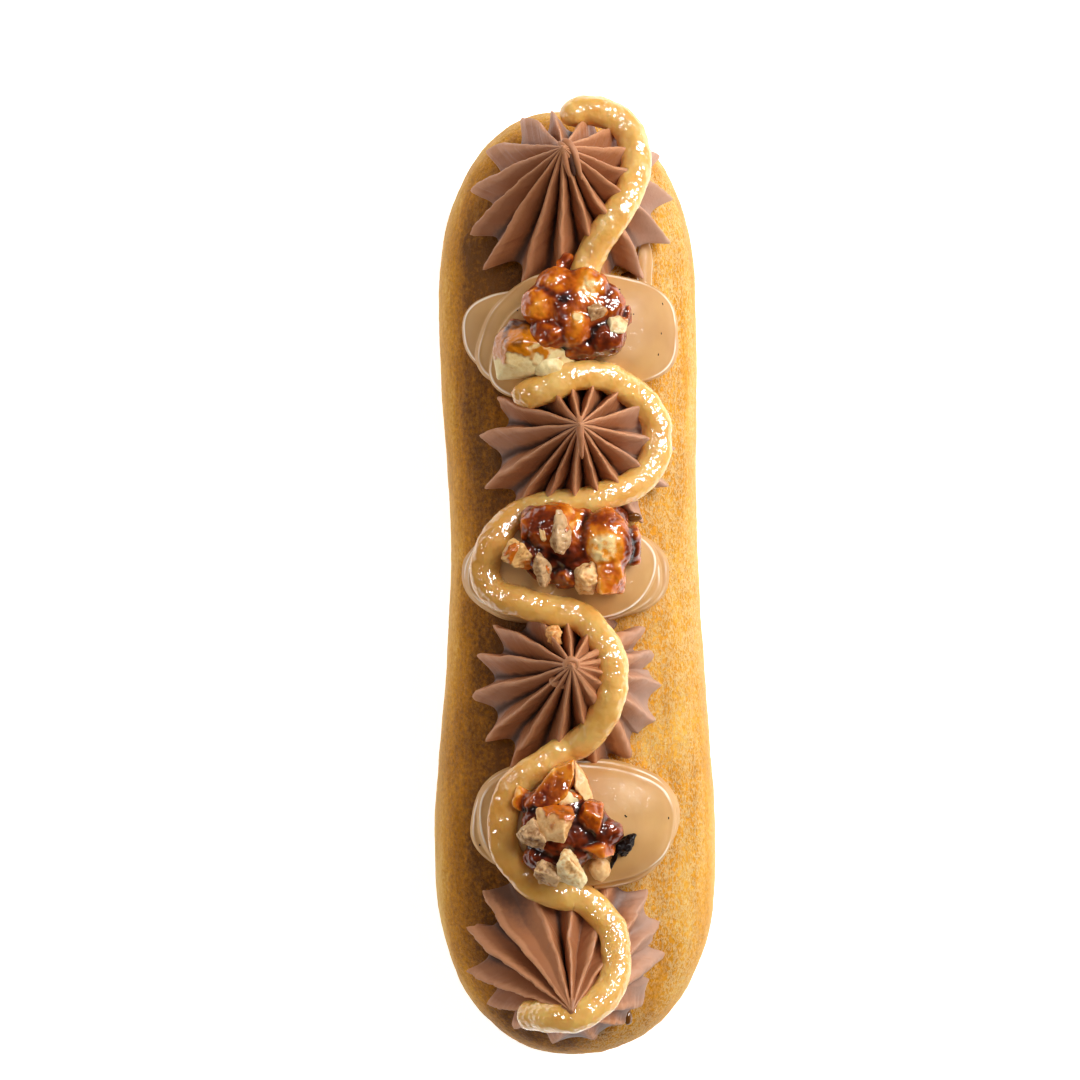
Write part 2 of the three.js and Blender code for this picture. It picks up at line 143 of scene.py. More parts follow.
def squarer(wave: np.ndarray, power: float) -> np.ndarray:
    """Raises a wave's size to a power and keeps its sign."""
    return np.sign(wave) * np.abs(wave) ** power


def round_angles(count: int) -> np.ndarray:
    """Even angles once round."""
    return np.linspace(0.0, 2.0 * math.pi, count, endpoint=False)


def lift_angles(count: int) -> np.ndarray:
    """Even angles from straight down to straight up, without both ends."""
    return np.linspace(-math.pi / 2.0, math.pi / 2.0, count + 2)[1:-1]


def loft(start: np.ndarray, rings: np.ndarray, end: np.ndarray) -> Skin:
    """Joins closed rings into a closed skin with a point at each end.

    Args:
        start: The point before the first ring.
        rings: Array of ring, place round the ring, x y z.
        end: The point after the last ring.

    Returns:
        Points and faces of the skin.
    """
    count, around = rings.shape[:2]
    points = np.vstack([rings.reshape(-1, 3), start[None], end[None]])
    faces: list[tuple[int, ...]] = []
    for ring in range(count - 1):
        low, high = ring * around, (ring + 1) * around
        for place in range(around):
            after = (place + 1) % around
            faces.append((low + place, low + after, high + after, high + place))
    first, last, top = count * around, count * around + 1, (count - 1) * around
    for place in range(around):
        after = (place + 1) % around
        faces.append((first, after, place))
        faces.append((last, top + place, top + after))
    return points, faces


def join_skins(skins: Iterable[Skin]) -> Skin:
    """Puts skins together as one.

    Args:
        skins: Points and faces of each skin.

    Returns:
        Points and faces of all of them.
    """
    all_points: list[np.ndarray] = []
    all_faces: list[tuple[int, ...]] = []
    count = 0
    for points, faces in skins:
        all_points.append(points)
        all_faces += [tuple(corner + count for corner in face) for face in faces]
        count += len(points)
    return np.vstack(all_points), all_faces


def join_meshes(name: str, meshes: Iterable[bpy.types.Mesh]) -> bpy.types.Mesh:
    """Puts meshes together as one, with their stored numbers.

    Args:
        name: Name of the new mesh.
        meshes: Meshes to join.

    Returns:
        The new mesh.
    """
    whole = bmesh.new()
    for mesh in meshes:
        whole.from_mesh(mesh)
    made = bpy.data.meshes.new(name)
    whole.to_mesh(made)
    whole.free()
    return made


def new_mesh(name: str, points: np.ndarray, faces: Iterable) -> bpy.types.Mesh:
    """Makes a mesh from millimetre points, with faces turned outward.

    Args:
        name: Name of the mesh.
        points: Rows of x, y, z in millimetres.
        faces: Corner numbers of each face.

    Returns:
        The mesh, in metres.
    """
    mesh = bpy.data.meshes.new(name)
    mesh.from_pydata((points * MM).tolist(), [], list(faces))
    turn_outward(mesh)
    return mesh


def turn_outward(mesh: bpy.types.Mesh) -> None:
    """Closes holes, turns every face outward and shades the mesh smooth.

    Args:
        mesh: The mesh to clean.
    """
    work = bmesh.new()
    work.from_mesh(mesh)
    edges = [edge for edge in work.edges if edge.is_boundary]
    if edges:
        bmesh.ops.holes_fill(work, edges=edges, sides=0)
    bmesh.ops.recalc_face_normals(work, faces=work.faces[:])
    for face in work.faces:
        face.smooth = True
    work.to_mesh(mesh)
    work.free()
    mesh.update()


def points_of(mesh: bpy.types.Mesh) -> np.ndarray:
    """Reads a mesh's points.

    Args:
        mesh: The mesh to read.

    Returns:
        Rows of x, y, z in millimetres.
    """
    flat = np.empty(len(mesh.vertices) * 3)
    mesh.vertices.foreach_get("co", flat)
    return flat.reshape(-1, 3) / MM


def move_points(mesh: bpy.types.Mesh, points: np.ndarray) -> None:
    """Writes a mesh's points.

    Args:
        mesh: The mesh to change.
        points: Rows of x, y, z in millimetres.
    """
    mesh.vertices.foreach_set("co", (points * MM).ravel())
    mesh.update()


def normals_of(mesh: bpy.types.Mesh) -> np.ndarray:
    """Reads a mesh's point normals.

    Args:
        mesh: The mesh to read.

    Returns:
        Rows of unit vectors.
    """
    flat = np.empty(len(mesh.vertices) * 3)
    mesh.vertex_normals.foreach_get("vector", flat)
    return flat.reshape(-1, 3)


def write_share(mesh: bpy.types.Mesh, name: str, values: np.ndarray) -> None:
    """Stores one number a point for the finish to read.

    Args:
        mesh: The mesh that gets the values.
        name: Attribute name.
        values: One number for each point.
    """
    mesh.attributes.new(name, "FLOAT", "POINT").data.foreach_set("value", values.astype(np.float32))


def crease_share(mesh: bpy.types.Mesh, spread: int, depth: float) -> np.ndarray:
    """Tells hollows from humps by how far each point lies from its neighbours' middle.

    Args:
        mesh: The mesh to measure.
        spread: How many times the points are averaged first.
        depth: Distance in millimetres that counts as a full hollow or hump.

    Returns:
        0 in hollows, 0.5 on even ground and 1 on humps, for each point.
    """
    points = points_of(mesh)
    ends = np.empty(len(mesh.edges) * 2, dtype=np.int64)
    mesh.edges.foreach_get("vertices", ends)
    one, two = ends[0::2], ends[1::2]
    links = np.bincount(ends, minlength=len(points))[:, None]
    eased = points.copy()
    for _ in range(spread):
        total = np.zeros_like(eased)
        np.add.at(total, one, eased[two])
        np.add.at(total, two, eased[one])
        eased = total / np.maximum(links, 1)
    rise = np.einsum("ij,ij->i", points - eased, normals_of(mesh))
    return np.clip(0.5 + 0.5 * rise / depth, 0.0, 1.0)


def as_piece(name: str, mesh: bpy.types.Mesh, finishes: Sequence["Finish"]) -> bpy.types.Object:
    """Puts a mesh in the scene as a piece of the eclair.

    Args:
        name: Piece name.
        mesh: Its mesh, already in place.
        finishes: Finishes by material number.

    Returns:
        The new object.
    """
    mesh.name = name
    if mesh.materials:
        mesh.materials.clear()
    for finish in finishes:
        mesh.materials.append(finish.material())
    piece = bpy.data.objects.new(name, mesh)
    bpy.context.collection.objects.link(piece)
    return piece


def settle(piece: bpy.types.Object, slot: Optional[Slot], *nodes: str) -> None:
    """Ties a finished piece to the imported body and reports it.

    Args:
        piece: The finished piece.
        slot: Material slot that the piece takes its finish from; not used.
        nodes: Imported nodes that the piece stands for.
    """
    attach(piece, BODY)
    if nodes:
        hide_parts(*nodes)
    log.info("%s: %d faces", piece.name, len(piece.data.polygons))


def baked(piece: bpy.types.Object) -> bpy.types.Mesh:
    """Works a piece's modifiers into a new mesh and removes the piece.

    Args:
        piece: Object with modifiers.

    Returns:
        The finished mesh.
    """
    graph = bpy.context.evaluated_depsgraph_get()
    mesh = bpy.data.meshes.new_from_object(
        piece.evaluated_get(graph), preserve_all_data_layers=True, depsgraph=graph
    )
    piece.modifiers.clear()
    bpy.data.objects.remove(piece)
    return mesh


def fused(name: str, mesh: bpy.types.Mesh, voxel: float, passes: int) -> bpy.types.Mesh:
    """Melts overlapping closed shapes into one skin.

    Args:
        name: Name of the new mesh.
        mesh: Mesh of overlapping closed shapes.
        voxel: Width of one cell of the new skin in millimetres.
        passes: Smoothing passes over the new skin.

    Returns:
        One closed mesh.
    """
    piece = bpy.data.objects.new(name, mesh)
    bpy.context.collection.objects.link(piece)
    remesh = piece.modifiers.new("melt", "REMESH")
    remesh.mode = "VOXEL"
    remesh.voxel_size = voxel * MM
    ease = piece.modifiers.new("ease", "SMOOTH")
    ease.factor = 0.5
    ease.iterations = passes
    made = baked(piece)
    turn_outward(made)
    return made


# Node wiring


def sum_method(operation: str, swapped: bool = False) -> Callable[["Field", Value], "Field"]:
    """Makes a method that joins a field and a value in one sum.

    Args:
        operation: Name of the sum.
        swapped: Whether the value comes before the field.

    Returns:
        The method.
    """

    def work(self: "Field", other: Value) -> "Field":
        """Adds the sum to the field's tree."""
        pair = (other, self) if swapped else (self, other)
        return self.graph.math(operation, *pair)

    return work


@dataclass(frozen=True)
class Field:
    """A socket of a node tree that can be worked with like a number."""

    graph: "Graph"
    socket: bpy.types.NodeSocket

    __add__, __radd__ = sum_method("ADD"), sum_method("ADD", True)
    __sub__, __rsub__ = sum_method("SUBTRACT"), sum_method("SUBTRACT", True)
    __mul__, __rmul__ = sum_method("MULTIPLY"), sum_method("MULTIPLY", True)
    __truediv__, __rtruediv__ = sum_method("DIVIDE"), sum_method("DIVIDE", True)
    __pow__ = sum_method("POWER")
    at_least, at_most = sum_method("MAXIMUM"), sum_method("MINIMUM")


class Graph:
    """A node tree being wired, for shapes or for finishes."""

    def __init__(self, tree: bpy.types.NodeTree) -> None:
        """Starts wiring a tree.

        Args:
            tree: The node tree to add to.
        """
        self.tree = tree

    def add(self, kind: str, **settings: object) -> bpy.types.Node:
        """Adds a node.

        Args:
            kind: Node type.
            settings: Properties to set on the node.

        Returns:
            The new node.
        """
        node = self.tree.nodes.new(kind)
        for key, value in settings.items():
            setattr(node, key, value)
        return node

    def feed(self, socket: bpy.types.NodeSocket, value: object) -> None:
        """Gives an input a wire or a fixed value.

        Args:
            socket: Input to feed.
            value: Field, output socket or fixed value.
        """
        if isinstance(value, Field):
            self.tree.links.new(value.socket, socket)
        elif isinstance(value, bpy.types.NodeSocket):
            self.tree.links.new(value, socket)
        else:
            socket.default_value = value

    def math(self, operation: str, *values: Value) -> Field:
        """Adds a sum of one or more values.

        Args:
            operation: Name of the sum.
            values: Fields or numbers.

        Returns:
            The result.
        """
        node = self.add("ShaderNodeMath", operation=operation)
        for socket, value in zip(node.inputs, values):
            self.feed(socket, value)
        return Field(self, node.outputs[0])

    def blend(self, low: Value, high: Value, share: Value) -> Field:
        """Goes from one value to another by a share."""
        return low + (high - low) * share

    def ease(self, value: Value, start: float, end: float, low: float = 0.0, high: float = 1.0) -> Field:
        """Eases a value smoothly from one range to another.

        Args:
            value: The value to read.
            start: Where the change starts.
            end: Where the change ends.
            low: Result at the start.
            high: Result at the end.

        Returns:
            The eased value.
        """
        node = self.add("ShaderNodeMapRange", interpolation_type="SMOOTHSTEP")
        ranges = {"Value": value, "From Min": start, "From Max": end, "To Min": low, "To Max": high}
        for name, number in ranges.items():
            self.feed(node.inputs[name], number)
        return Field(self, node.outputs[0])

    def vector(self, x: Value, y: Value, z: Value) -> bpy.types.NodeSocket:
        """Joins three values into a vector."""
        node = self.add("ShaderNodeCombineXYZ")
        for socket, value in zip(node.inputs, (x, y, z)):
            self.feed(socket, value)
        return node.outputs[0]

    def parts(self, vector: object) -> tuple[Field, Field, Field]:
        """Splits a vector into its three values."""
        node = self.add("ShaderNodeSeparateXYZ")
        self.feed(node.inputs[0], vector)
        return tuple(Field(self, socket) for socket in node.outputs)

    def noise(
        self, place: object, scale: float, detail: float = 2.0, rough: float = 0.5, twist: float = 0.0
    ) -> Field:
        """Adds soft noise.

        Args:
            place: Vector to read the noise at.
            scale: Bumps to a unit of the vector.
            detail: Layers of finer noise.
            rough: Weight of the finer layers.
            twist: How far the pattern is warped.

        Returns:
            Noise from 0 to 1.
        """
        node = self.add("ShaderNodeTexNoise")
        self.feed(node.inputs["Vector"], place)
        sizes = {"Scale": scale, "Detail": detail, "Roughness": rough, "Distortion": twist}
        for name, number in sizes.items():
            node.inputs[name].default_value = number
        return Field(self, node.outputs[0])


class ShapeTree(Graph):
    """A geometry tree with named inputs and one shape output."""

    def __init__(self, name: str, inputs: dict[str, float]) -> None:
        """Starts the tree.

        Args:
            name: Name of the tree.
            inputs: Named inputs with their usual values.
        """
        super().__init__(bpy.data.node_groups.new(name, "GeometryNodeTree"))
        face = self.tree.interface
        face.new_socket("Geometry", in_out="INPUT", socket_type="NodeSocketGeometry")
        face.new_socket("Geometry", in_out="OUTPUT", socket_type="NodeSocketGeometry")
        self.keys: dict[str, str] = {}
        for key, value in inputs.items():
            socket = face.new_socket(key, in_out="INPUT", socket_type="NodeSocketFloat")
            socket.default_value = value
            self.keys[key] = socket.identifier
        finish = face.new_socket("Finish", in_out="INPUT", socket_type="NodeSocketMaterial")
        self.keys["Finish"] = finish.identifier
        self.source = self.add("NodeGroupInput")

    def given(self, name: str) -> Field:
        """Reads a named input."""
        return Field(self, self.source.outputs[name])

    def named(self, name: str, kind: str = "FLOAT") -> Field:
        """Reads a value stored for each point."""
        node = self.add("GeometryNodeInputNamedAttribute", data_type=kind)
        node.inputs["Name"].default_value = name
        return Field(self, node.outputs[0])

    def store(
        self, shape: bpy.types.NodeSocket, name: str, value: object, kind: str = "FLOAT"
    ) -> bpy.types.NodeSocket:
        """Stores a value for each point.

        Args:
            shape: Geometry that gets the value.
            name: Attribute name.
            value: Value to store.
            kind: Type of the value.

        Returns:
            The geometry with the value.
        """
        node = self.add("GeometryNodeStoreNamedAttribute", data_type=kind, domain="POINT")
        node.inputs["Name"].default_value = name
        self.feed(node.inputs["Geometry"], shape)
        self.feed(node.inputs["Value"], value)
        return node.outputs[0]

    def scaled(self, vector: object, scale: Value) -> bpy.types.NodeSocket:
        """Scales a vector."""
        node = self.add("ShaderNodeVectorMath", operation="SCALE")
        self.feed(node.inputs[0], vector)
        self.feed(node.inputs["Scale"], scale)
        return node.outputs[0]

    def spot(self) -> bpy.types.NodeSocket:
        """Reads the place of each point."""
        return self.add("GeometryNodeInputPosition").outputs[0]

    def moved(self, shape: bpy.types.NodeSocket, way: str, value: object) -> bpy.types.NodeSocket:
        """Moves the points of a shape.

        Args:
            shape: Geometry to move.
            way: Position for new places, or Offset for steps.
            value: The places or steps.

        Returns:
            The moved geometry.
        """
        node = self.add("GeometryNodeSetPosition")
        self.feed(node.inputs["Geometry"], shape)
        self.feed(node.inputs[way], value)
        return node.outputs[0]

    def close(self, shape: bpy.types.NodeSocket) -> None:
        """Realizes the shape, gives it its finish and sends it out.

        Args:
            shape: Geometry to send out.
        """
        real = self.add("GeometryNodeRealizeInstances")
        shade = self.add("GeometryNodeSetShadeSmooth")
        paint = self.add("GeometryNodeSetMaterial")
        out = self.add("NodeGroupOutput")
        self.feed(shade.inputs["Geometry"], shape)
        self.feed(real.inputs["Geometry"], shade.outputs[0])
        self.feed(paint.inputs["Geometry"], real.outputs[0])
        self.feed(paint.inputs["Material"], self.source.outputs["Finish"])
        self.feed(out.inputs["Geometry"], paint.outputs[0])

    def grow(self, name: str, base: bpy.types.Mesh, values: dict[str, object]) -> bpy.types.Mesh:
        """Runs the tree on a mesh.

        Args:
            name: Name of the result.
            base: Mesh that the tree starts from.
            values: Values for named inputs.

        Returns:
            The finished mesh.
        """
        piece = bpy.data.objects.new(name, base)
        bpy.context.collection.objects.link(piece)
        modifier = piece.modifiers.new(name, "NODES")
        modifier.node_group = self.tree
        for key, value in values.items():
            modifier[self.keys[key]] = value
        return baked(piece)


# Finishes


class PaintTree(Graph):
    """The node tree of a material."""

    def place(self) -> bpy.types.NodeSocket:
        """Gives the piece's own coordinates in metres."""
        return self.add("ShaderNodeTexCoord").outputs["Object"]

    def share(self, name: str) -> Field:
        """Reads one of the piece's stored numbers."""
        return Field(self, self.add("ShaderNodeAttribute", attribute_name=name).outputs["Fac"])

    def stretched(self, x: float, y: float, z: float) -> bpy.types.NodeSocket:
        """Gives the piece's coordinates scaled along each axis."""
        node = self.add("ShaderNodeMapping")
        self.feed(node.inputs["Vector"], self.place())
        node.inputs["Scale"].default_value = (x, y, z)
        return node.outputs[0]

    def ramp(self, share: Field, stops: Sequence[tuple[float, Colour]]) -> bpy.types.NodeSocket:
        """Turns a share into a colour.

        Args:
            share: Value from 0 to 1.
            stops: Places from 0 to 1 with display colours.

        Returns:
            The colour.
        """
        node = self.add("ShaderNodeValToRGB")
        bands = node.color_ramp.elements
        while len(bands) < len(stops):
            bands.new(0.5)
        for band, (spot, colour) in zip(bands, stops):
            band.position = spot
            band.color = linear(*colour)
        self.feed(node.inputs[0], share)
        return node.outputs[0]

    def mix(self, low: object, high: object, share: Value) -> bpy.types.NodeSocket:
        """Mixes two colours by a share.

        Args:
            low: Colour at share 0.
            high: Colour at share 1.
            share: Value from 0 to 1.

        Returns:
            The mixed colour.
        """
        node = self.add("ShaderNodeMix", data_type="RGBA")
        self.feed(node.inputs[0], share)
        self.feed(node.inputs[6], low)
        self.feed(node.inputs[7], high)
        return node.outputs[2]

    def bump(
        self,
        surface: bpy.types.Node,
        layers: Sequence[tuple[Field, float, float]],
        targets: Sequence[str] = ("Normal",),
    ) -> None:
        """Adds layers of fine relief.

        Args:
            surface: Shader that gets the relief.
            layers: Height, depth in millimetres and strength of each layer.
            targets: Inputs that take the relief.
        """
        before: Optional[bpy.types.NodeSocket] = None
        for height, depth, strength in layers:
            node = self.add("ShaderNodeBump")
            node.inputs["Distance"].default_value = depth * MM
            node.inputs["Strength"].default_value = strength
            self.feed(node.inputs["Height"], height)
            if before is not None:
                self.feed(node.inputs["Normal"], before)
            before = node.outputs[0]
        for target in targets:
            self.feed(surface.inputs[target], before)


@dataclass(frozen=True)
class Finish:
    """A finish that makes its material once and hands it out again."""

    name: str

    def material(self) -> bpy.types.Material:
        """Finds or makes the material.

        Returns:
            The material.
        """
        found = bpy.data.materials.get(self.name)
        if found is not None:
            return found
        made = bpy.data.materials.new(self.name)
        made.use_nodes = True
        graph = PaintTree(made.node_tree)
        surface = made.node_tree.nodes["Principled BSDF"]
        self.paint(graph, surface)
        return made

    def paint(self, graph: PaintTree, surface: bpy.types.Node) -> None:
        """Wires the surface; each finish has its own."""
        raise NotImplementedError


def set_gloss(
    surface: bpy.types.Node,
    rough: float,
    specular: float = 0.5,
    coat: float = 0.0,
    coat_rough: float = 0.1,
    coat_bend: float = 1.5,
    depth: float = 0.0,
    tint: Colour = (1.0, 0.5, 0.25),
    reach: float = 1.0,
) -> None:
    """Sets a surface's fixed gloss and inner glow.

    Args:
        surface: Shader to set.
        rough: Roughness.
        specular: Strength of the plain reflection.
        coat: Strength of the clear top coat.
        coat_rough: Roughness of the clear top coat.
        coat_bend: Refraction of the clear top coat; more makes brighter glints.
        depth: Share of light that goes inside.
        tint: How far each colour of light goes inside.
        reach: Distance inside in millimetres.
    """
    surface.inputs["Roughness"].default_value = rough
    surface.inputs["Specular IOR Level"].default_value = specular
    surface.inputs["Coat Weight"].default_value = coat
    surface.inputs["Coat Roughness"].default_value = coat_rough
    surface.inputs["Coat IOR"].default_value = coat_bend
    surface.inputs["Subsurface Weight"].default_value = depth
    surface.inputs["Subsurface Radius"].default_value = tint
    surface.inputs["Subsurface Scale"].default_value = reach * MM


@dataclass(frozen=True)
class CrustFinish(Finish):
    """Baked crust: golden, streaked along its length, finely grained, paler low down, with painted shade on
    its left shoulder and lower end and painted glints in a pale lace on its right side.
    """

    name: str = "baked_crust"
    pale: Colour = (240, 184, 76)
    gold: Colour = (226, 152, 18)
    brown: Colour = (192, 120, 4)
    dark: Colour = (120, 70, 2)
    # Pale lace colour, partly real grain and partly painted glints.
    lace_glint: Colour = (255, 230, 172)
    edge: Colour = (236, 198, 130)

    def paint(self, graph: PaintTree, surface: bpy.types.Node) -> None:
        """Wires the crust."""
        place = graph.place()
        across, _, height = graph.parts(place)
        streaks = graph.noise(graph.stretched(1.0, 0.16, 1.0), 420.0, 4.0, 0.6)
        patches = graph.noise(place, 75.0, 3.0, 0.55)
        grain = graph.noise(place, 1700.0, 3.0, 0.6)
        bands = graph.noise(graph.stretched(1.0, 0.07, 1.0), 190.0, 2.0, 0.5)
        weave = graph.noise(graph.stretched(1.0, 0.45, 1.0), 1850.0, 3.0, 0.65, 0.3)
        threads = graph.ease(graph.math("ABSOLUTE", weave - 0.5), 0.07, 0.0)
        net = threads * graph.ease(bands, 0.66, 0.5, 0.3, 1.0)
        # This share paints shade onto the crust's left shoulder, beside the creams and at its lower end, with
        # a little real browning over the crown.
        browning_and_shade = graph.share("browning_and_shade")
        tone = patches * 0.45 + streaks * 0.4 + grain * 0.5 + bands * 0.3 - 0.345 + browning_and_shade * 0.42
        stops = [(0.36, self.pale), (0.5, self.gold), (0.68, self.brown), (0.92, self.dark)]
        warm = graph.ramp(tone, stops)
        # The pale lace is partly real grain and partly painted glints: strongest on the lit right side, faint
        # on the left and where shade is painted.
        lace_and_glint = net * (0.68 - browning_and_shade * 0.6) * graph.ease(across, -0.008, 0.006, 0.12, 1.0)
        laced = graph.mix(warm, linear(*self.lace_glint), lace_and_glint)
        # Paler low down: partly the paler lower crust and partly a painted reflection of the pale floor.
        low = graph.ease(height, 0.021, 0.01, 0.0, 0.75)
        graph.feed(surface.inputs["Base Color"], graph.mix(laced, linear(*self.edge), low))
        set_gloss(surface, 0.6, 0.15, depth=0.08, tint=(1.0, 0.5, 0.2), reach=1.0)
        pits = graph.noise(place, 900.0, 2.0, 0.5)
        layers = [(streaks, 0.35, 0.6), (pits, 0.35, 0.6), (net, 0.16, 0.7), (grain, 0.25, 0.7)]
        graph.bump(surface, layers)


@dataclass(frozen=True)
class ChocolateFinish(Finish):
    """Whipped chocolate cream: satin brown, lighter along the crests as a painted highlight, darker in the
    valleys as painted shade, greyer under the tips as painted shade and sheen, and lighter on the right as
    painted light.
    """

    name: str = "whipped_chocolate"
    crest_highlight: Colour = (196, 136, 95)
    flank: Colour = (168, 108, 70)
    fold: Colour = (98, 57, 34)
    valley: Colour = (38, 17, 9)
    skirt: Colour = (96, 70, 58)
    right_sheen: Colour = (192, 152, 130)

    def paint(self, graph: PaintTree, surface: bpy.types.Node) -> None:
        """Wires the cream."""
        place = graph.place()
        ridge = graph.share("ridge")
        level = graph.share("level")
        blotch = graph.noise(place, 260.0, 3.0, 0.55)
        streak = graph.noise(graph.stretched(1.0, 1.0, 0.18), 1500.0, 3.0, 0.6)
        across, _, _ = graph.parts(place)
        lit = graph.ease(across, -0.004, 0.008, 0.0, 0.09)
        # The ridge share paints shade into the valleys and folds and a highlight along the crests; lit adds
        # painted light on the right side.
        tone = ridge + (blotch - 0.5) * 0.3 + (streak - 0.5) * 0.1 + lit
        shades = (self.valley, self.fold, self.flank, self.flank, self.crest_highlight)
        stops = list(zip((0.0, 0.13, 0.34, 0.8, 0.96), shades))
        warm = graph.ramp(tone, stops)
        # Under the tips the colour goes to a grey brown: painted shade, greyed as a painted sheen.
        low = graph.ease(level + ridge * 0.45 + (streak - 0.5) * 0.25, 0.4, 0.02, 0.0, 0.85)
        body = graph.mix(warm, linear(*self.skirt), low)
        # Painted sheen: towards the far right of each rosette the colour goes to a pale mauve.
        sheen_side = graph.ease(across + (blotch - 0.5) * 0.004, 0.005, 0.0105, 0.0, 0.75)
        graph.feed(surface.inputs["Base Color"], graph.mix(body, linear(*self.right_sheen), sheen_side))
        set_gloss(surface, 0.46, 0.18, depth=0.1, tint=(1.0, 0.5, 0.3), reach=0.8)
        graph.feed(surface.inputs["Roughness"], graph.ease(ridge, 0.0, 0.2, 0.95, 0.46))
        pores = graph.noise(place, 2600.0, 2.0, 0.5)
        graph.bump(surface, [(streak, 0.05, 0.5), (pores, 0.07, 0.5)])


@dataclass(frozen=True)
class PaleFinish(Finish):
    """Smooth pale cream: glossy, a little see-through, paler along its rims, as thin edges and as a painted
    highlight.
    """

    name: str = "pale_custard_cream"
    body: Colour = (210, 162, 100)
    deep: Colour = (192, 142, 84)
    rim: Colour = (248, 232, 212)

    def paint(self, graph: PaintTree, surface: bpy.types.Node) -> None:
        """Wires the cream."""
        place = graph.place()
        blotch = graph.noise(place, 130.0, 3.0, 0.5)
        faint = graph.ease(graph.noise(place, 170.0, 1.0, 0.5), 0.4, 0.62, 0.1, 1.0)
        ripple = graph.noise(place, 420.0, 2.0, 0.5)
        body = graph.ramp(blotch, [(0.3, self.deep), (0.7, self.body)])
        # Along the rims the colour goes paler: partly thin edges of cream, partly a painted highlight.
        edge = graph.ease(graph.share("rim") + (ripple - 0.5) * 0.5, 0.2, 0.95, 0.0, 0.95) * faint
        graph.feed(surface.inputs["Base Color"], graph.mix(body, linear(*self.rim), edge))
        tint = (1.0, 0.6, 0.35)
        set_gloss(surface, 0.5, 0.25, coat=0.06, coat_rough=0.06, depth=0.25, tint=tint, reach=2.0)
        graph.feed(surface.inputs["Roughness"], graph.blend(0.5, 0.24, edge))
        skin = graph.noise(place, 950.0, 0.0, 0.5)
        graph.bump(surface, [(ripple, 0.16, 0.4)])
        graph.bump(surface, [(ripple, 0.3, 1.0), (skin, 0.3, 1.0)], ("Coat Normal",))


@dataclass(frozen=True)
class CaramelFinish(Finish):
    """Thick piped caramel: pale gold, glossy, with a fine uneven skin, and deeper gold on its left side as
    painted shade.
    """

    name: str = "piped_caramel"
    pale: Colour = (248, 200, 112)
    deep: Colour = (232, 168, 74)
    shade_tone: Colour = (204, 142, 58)

    def paint(self, graph: PaintTree, surface: bpy.types.Node) -> None:
        """Wires the caramel."""
        place = graph.place()
        across, _, _ = graph.parts(place)
        blotch = graph.noise(place, 240.0, 3.0, 0.55)
        body = graph.ramp(blotch, [(0.32, self.deep), (0.66, self.pale)])
        # Painted shade: the left side of the line is mixed toward a deeper gold.
        shaded = graph.ease(across, -0.004, -0.011, 0.0, 0.7)
        graph.feed(surface.inputs["Base Color"], graph.mix(body, linear(*self.shade_tone), shaded))
        set_gloss(surface, 0.5, 0.2, 1.0, 0.04, 1.8, depth=0.35, tint=(1.0, 0.5, 0.2), reach=2.0)
        skin = graph.noise(place, 1400.0, 0.0, 0.5, 0.3)
        lumps = graph.noise(place, 480.0, 2.0, 0.5)
        graph.bump(surface, [(lumps, 0.12, 1.0), (skin, 0.06, 1.0)])
        graph.bump(surface, [(lumps, 0.06, 1.0), (skin, 0.25, 1.0)], ("Coat Normal",))


@dataclass(frozen=True)
class AmberFinish(Finish):
    """Clear cooked caramel over nuts: very glossy, orange on humps and red brown in hollows, partly as deeper
    caramel in the hollows and partly as painted highlight and shade.
    """

    name: str = "amber_caramel"
    pale: Colour = (255, 220, 152)
    bright: Colour = (236, 146, 36)
    amber: Colour = (200, 96, 10)
    brown: Colour = (132, 48, 10)
    dark: Colour = (42, 13, 6)

    def paint(self, graph: PaintTree, surface: bpy.types.Node) -> None:
        """Wires the caramel."""
        place = graph.place()
        hump = graph.share("hump")
        cooked = graph.share("tone")
        blotch = graph.noise(place, 330.0, 3.0, 0.6, 0.4)
        crumbs = graph.noise(place, 900.0, 3.0, 0.6)
        bare = graph.ease(cooked, 0.62, 0.85, 0.1, 0.9)
        # The hump share lightens humps and darkens hollows: partly deeper caramel, partly painted highlight
        # and shade.
        tone = cooked + (hump - 0.5) * 0.7 + (blotch - 0.5) * 0.3 + (crumbs - 0.5) * bare
        shades = (self.dark, self.brown, self.amber, self.bright, self.pale)
        stops = list(zip((0.04, 0.28, 0.5, 0.72, 0.95), shades))
        graph.feed(surface.inputs["Base Color"], graph.ramp(tone, stops))
        set_gloss(surface, 0.4, 0.1, 1.0, 0.03, 1.55, depth=0.1, tint=(1.0, 0.4, 0.08), reach=1.0)
        skin = graph.noise(place, 520.0, 1.0, 0.5, 0.5)
        fine = graph.noise(place, 1400.0, 0.0, 0.5)
        graph.feed(surface.inputs["Coat Weight"], graph.ease(cooked, 0.7, 0.86, 1.0, 0.3))
        layers = [(skin, 0.5, 1.0), (fine, 0.12, 1.0), (crumbs * bare, 0.3, 0.6)]
        graph.bump(surface, layers, ("Normal", "Coat Normal"))


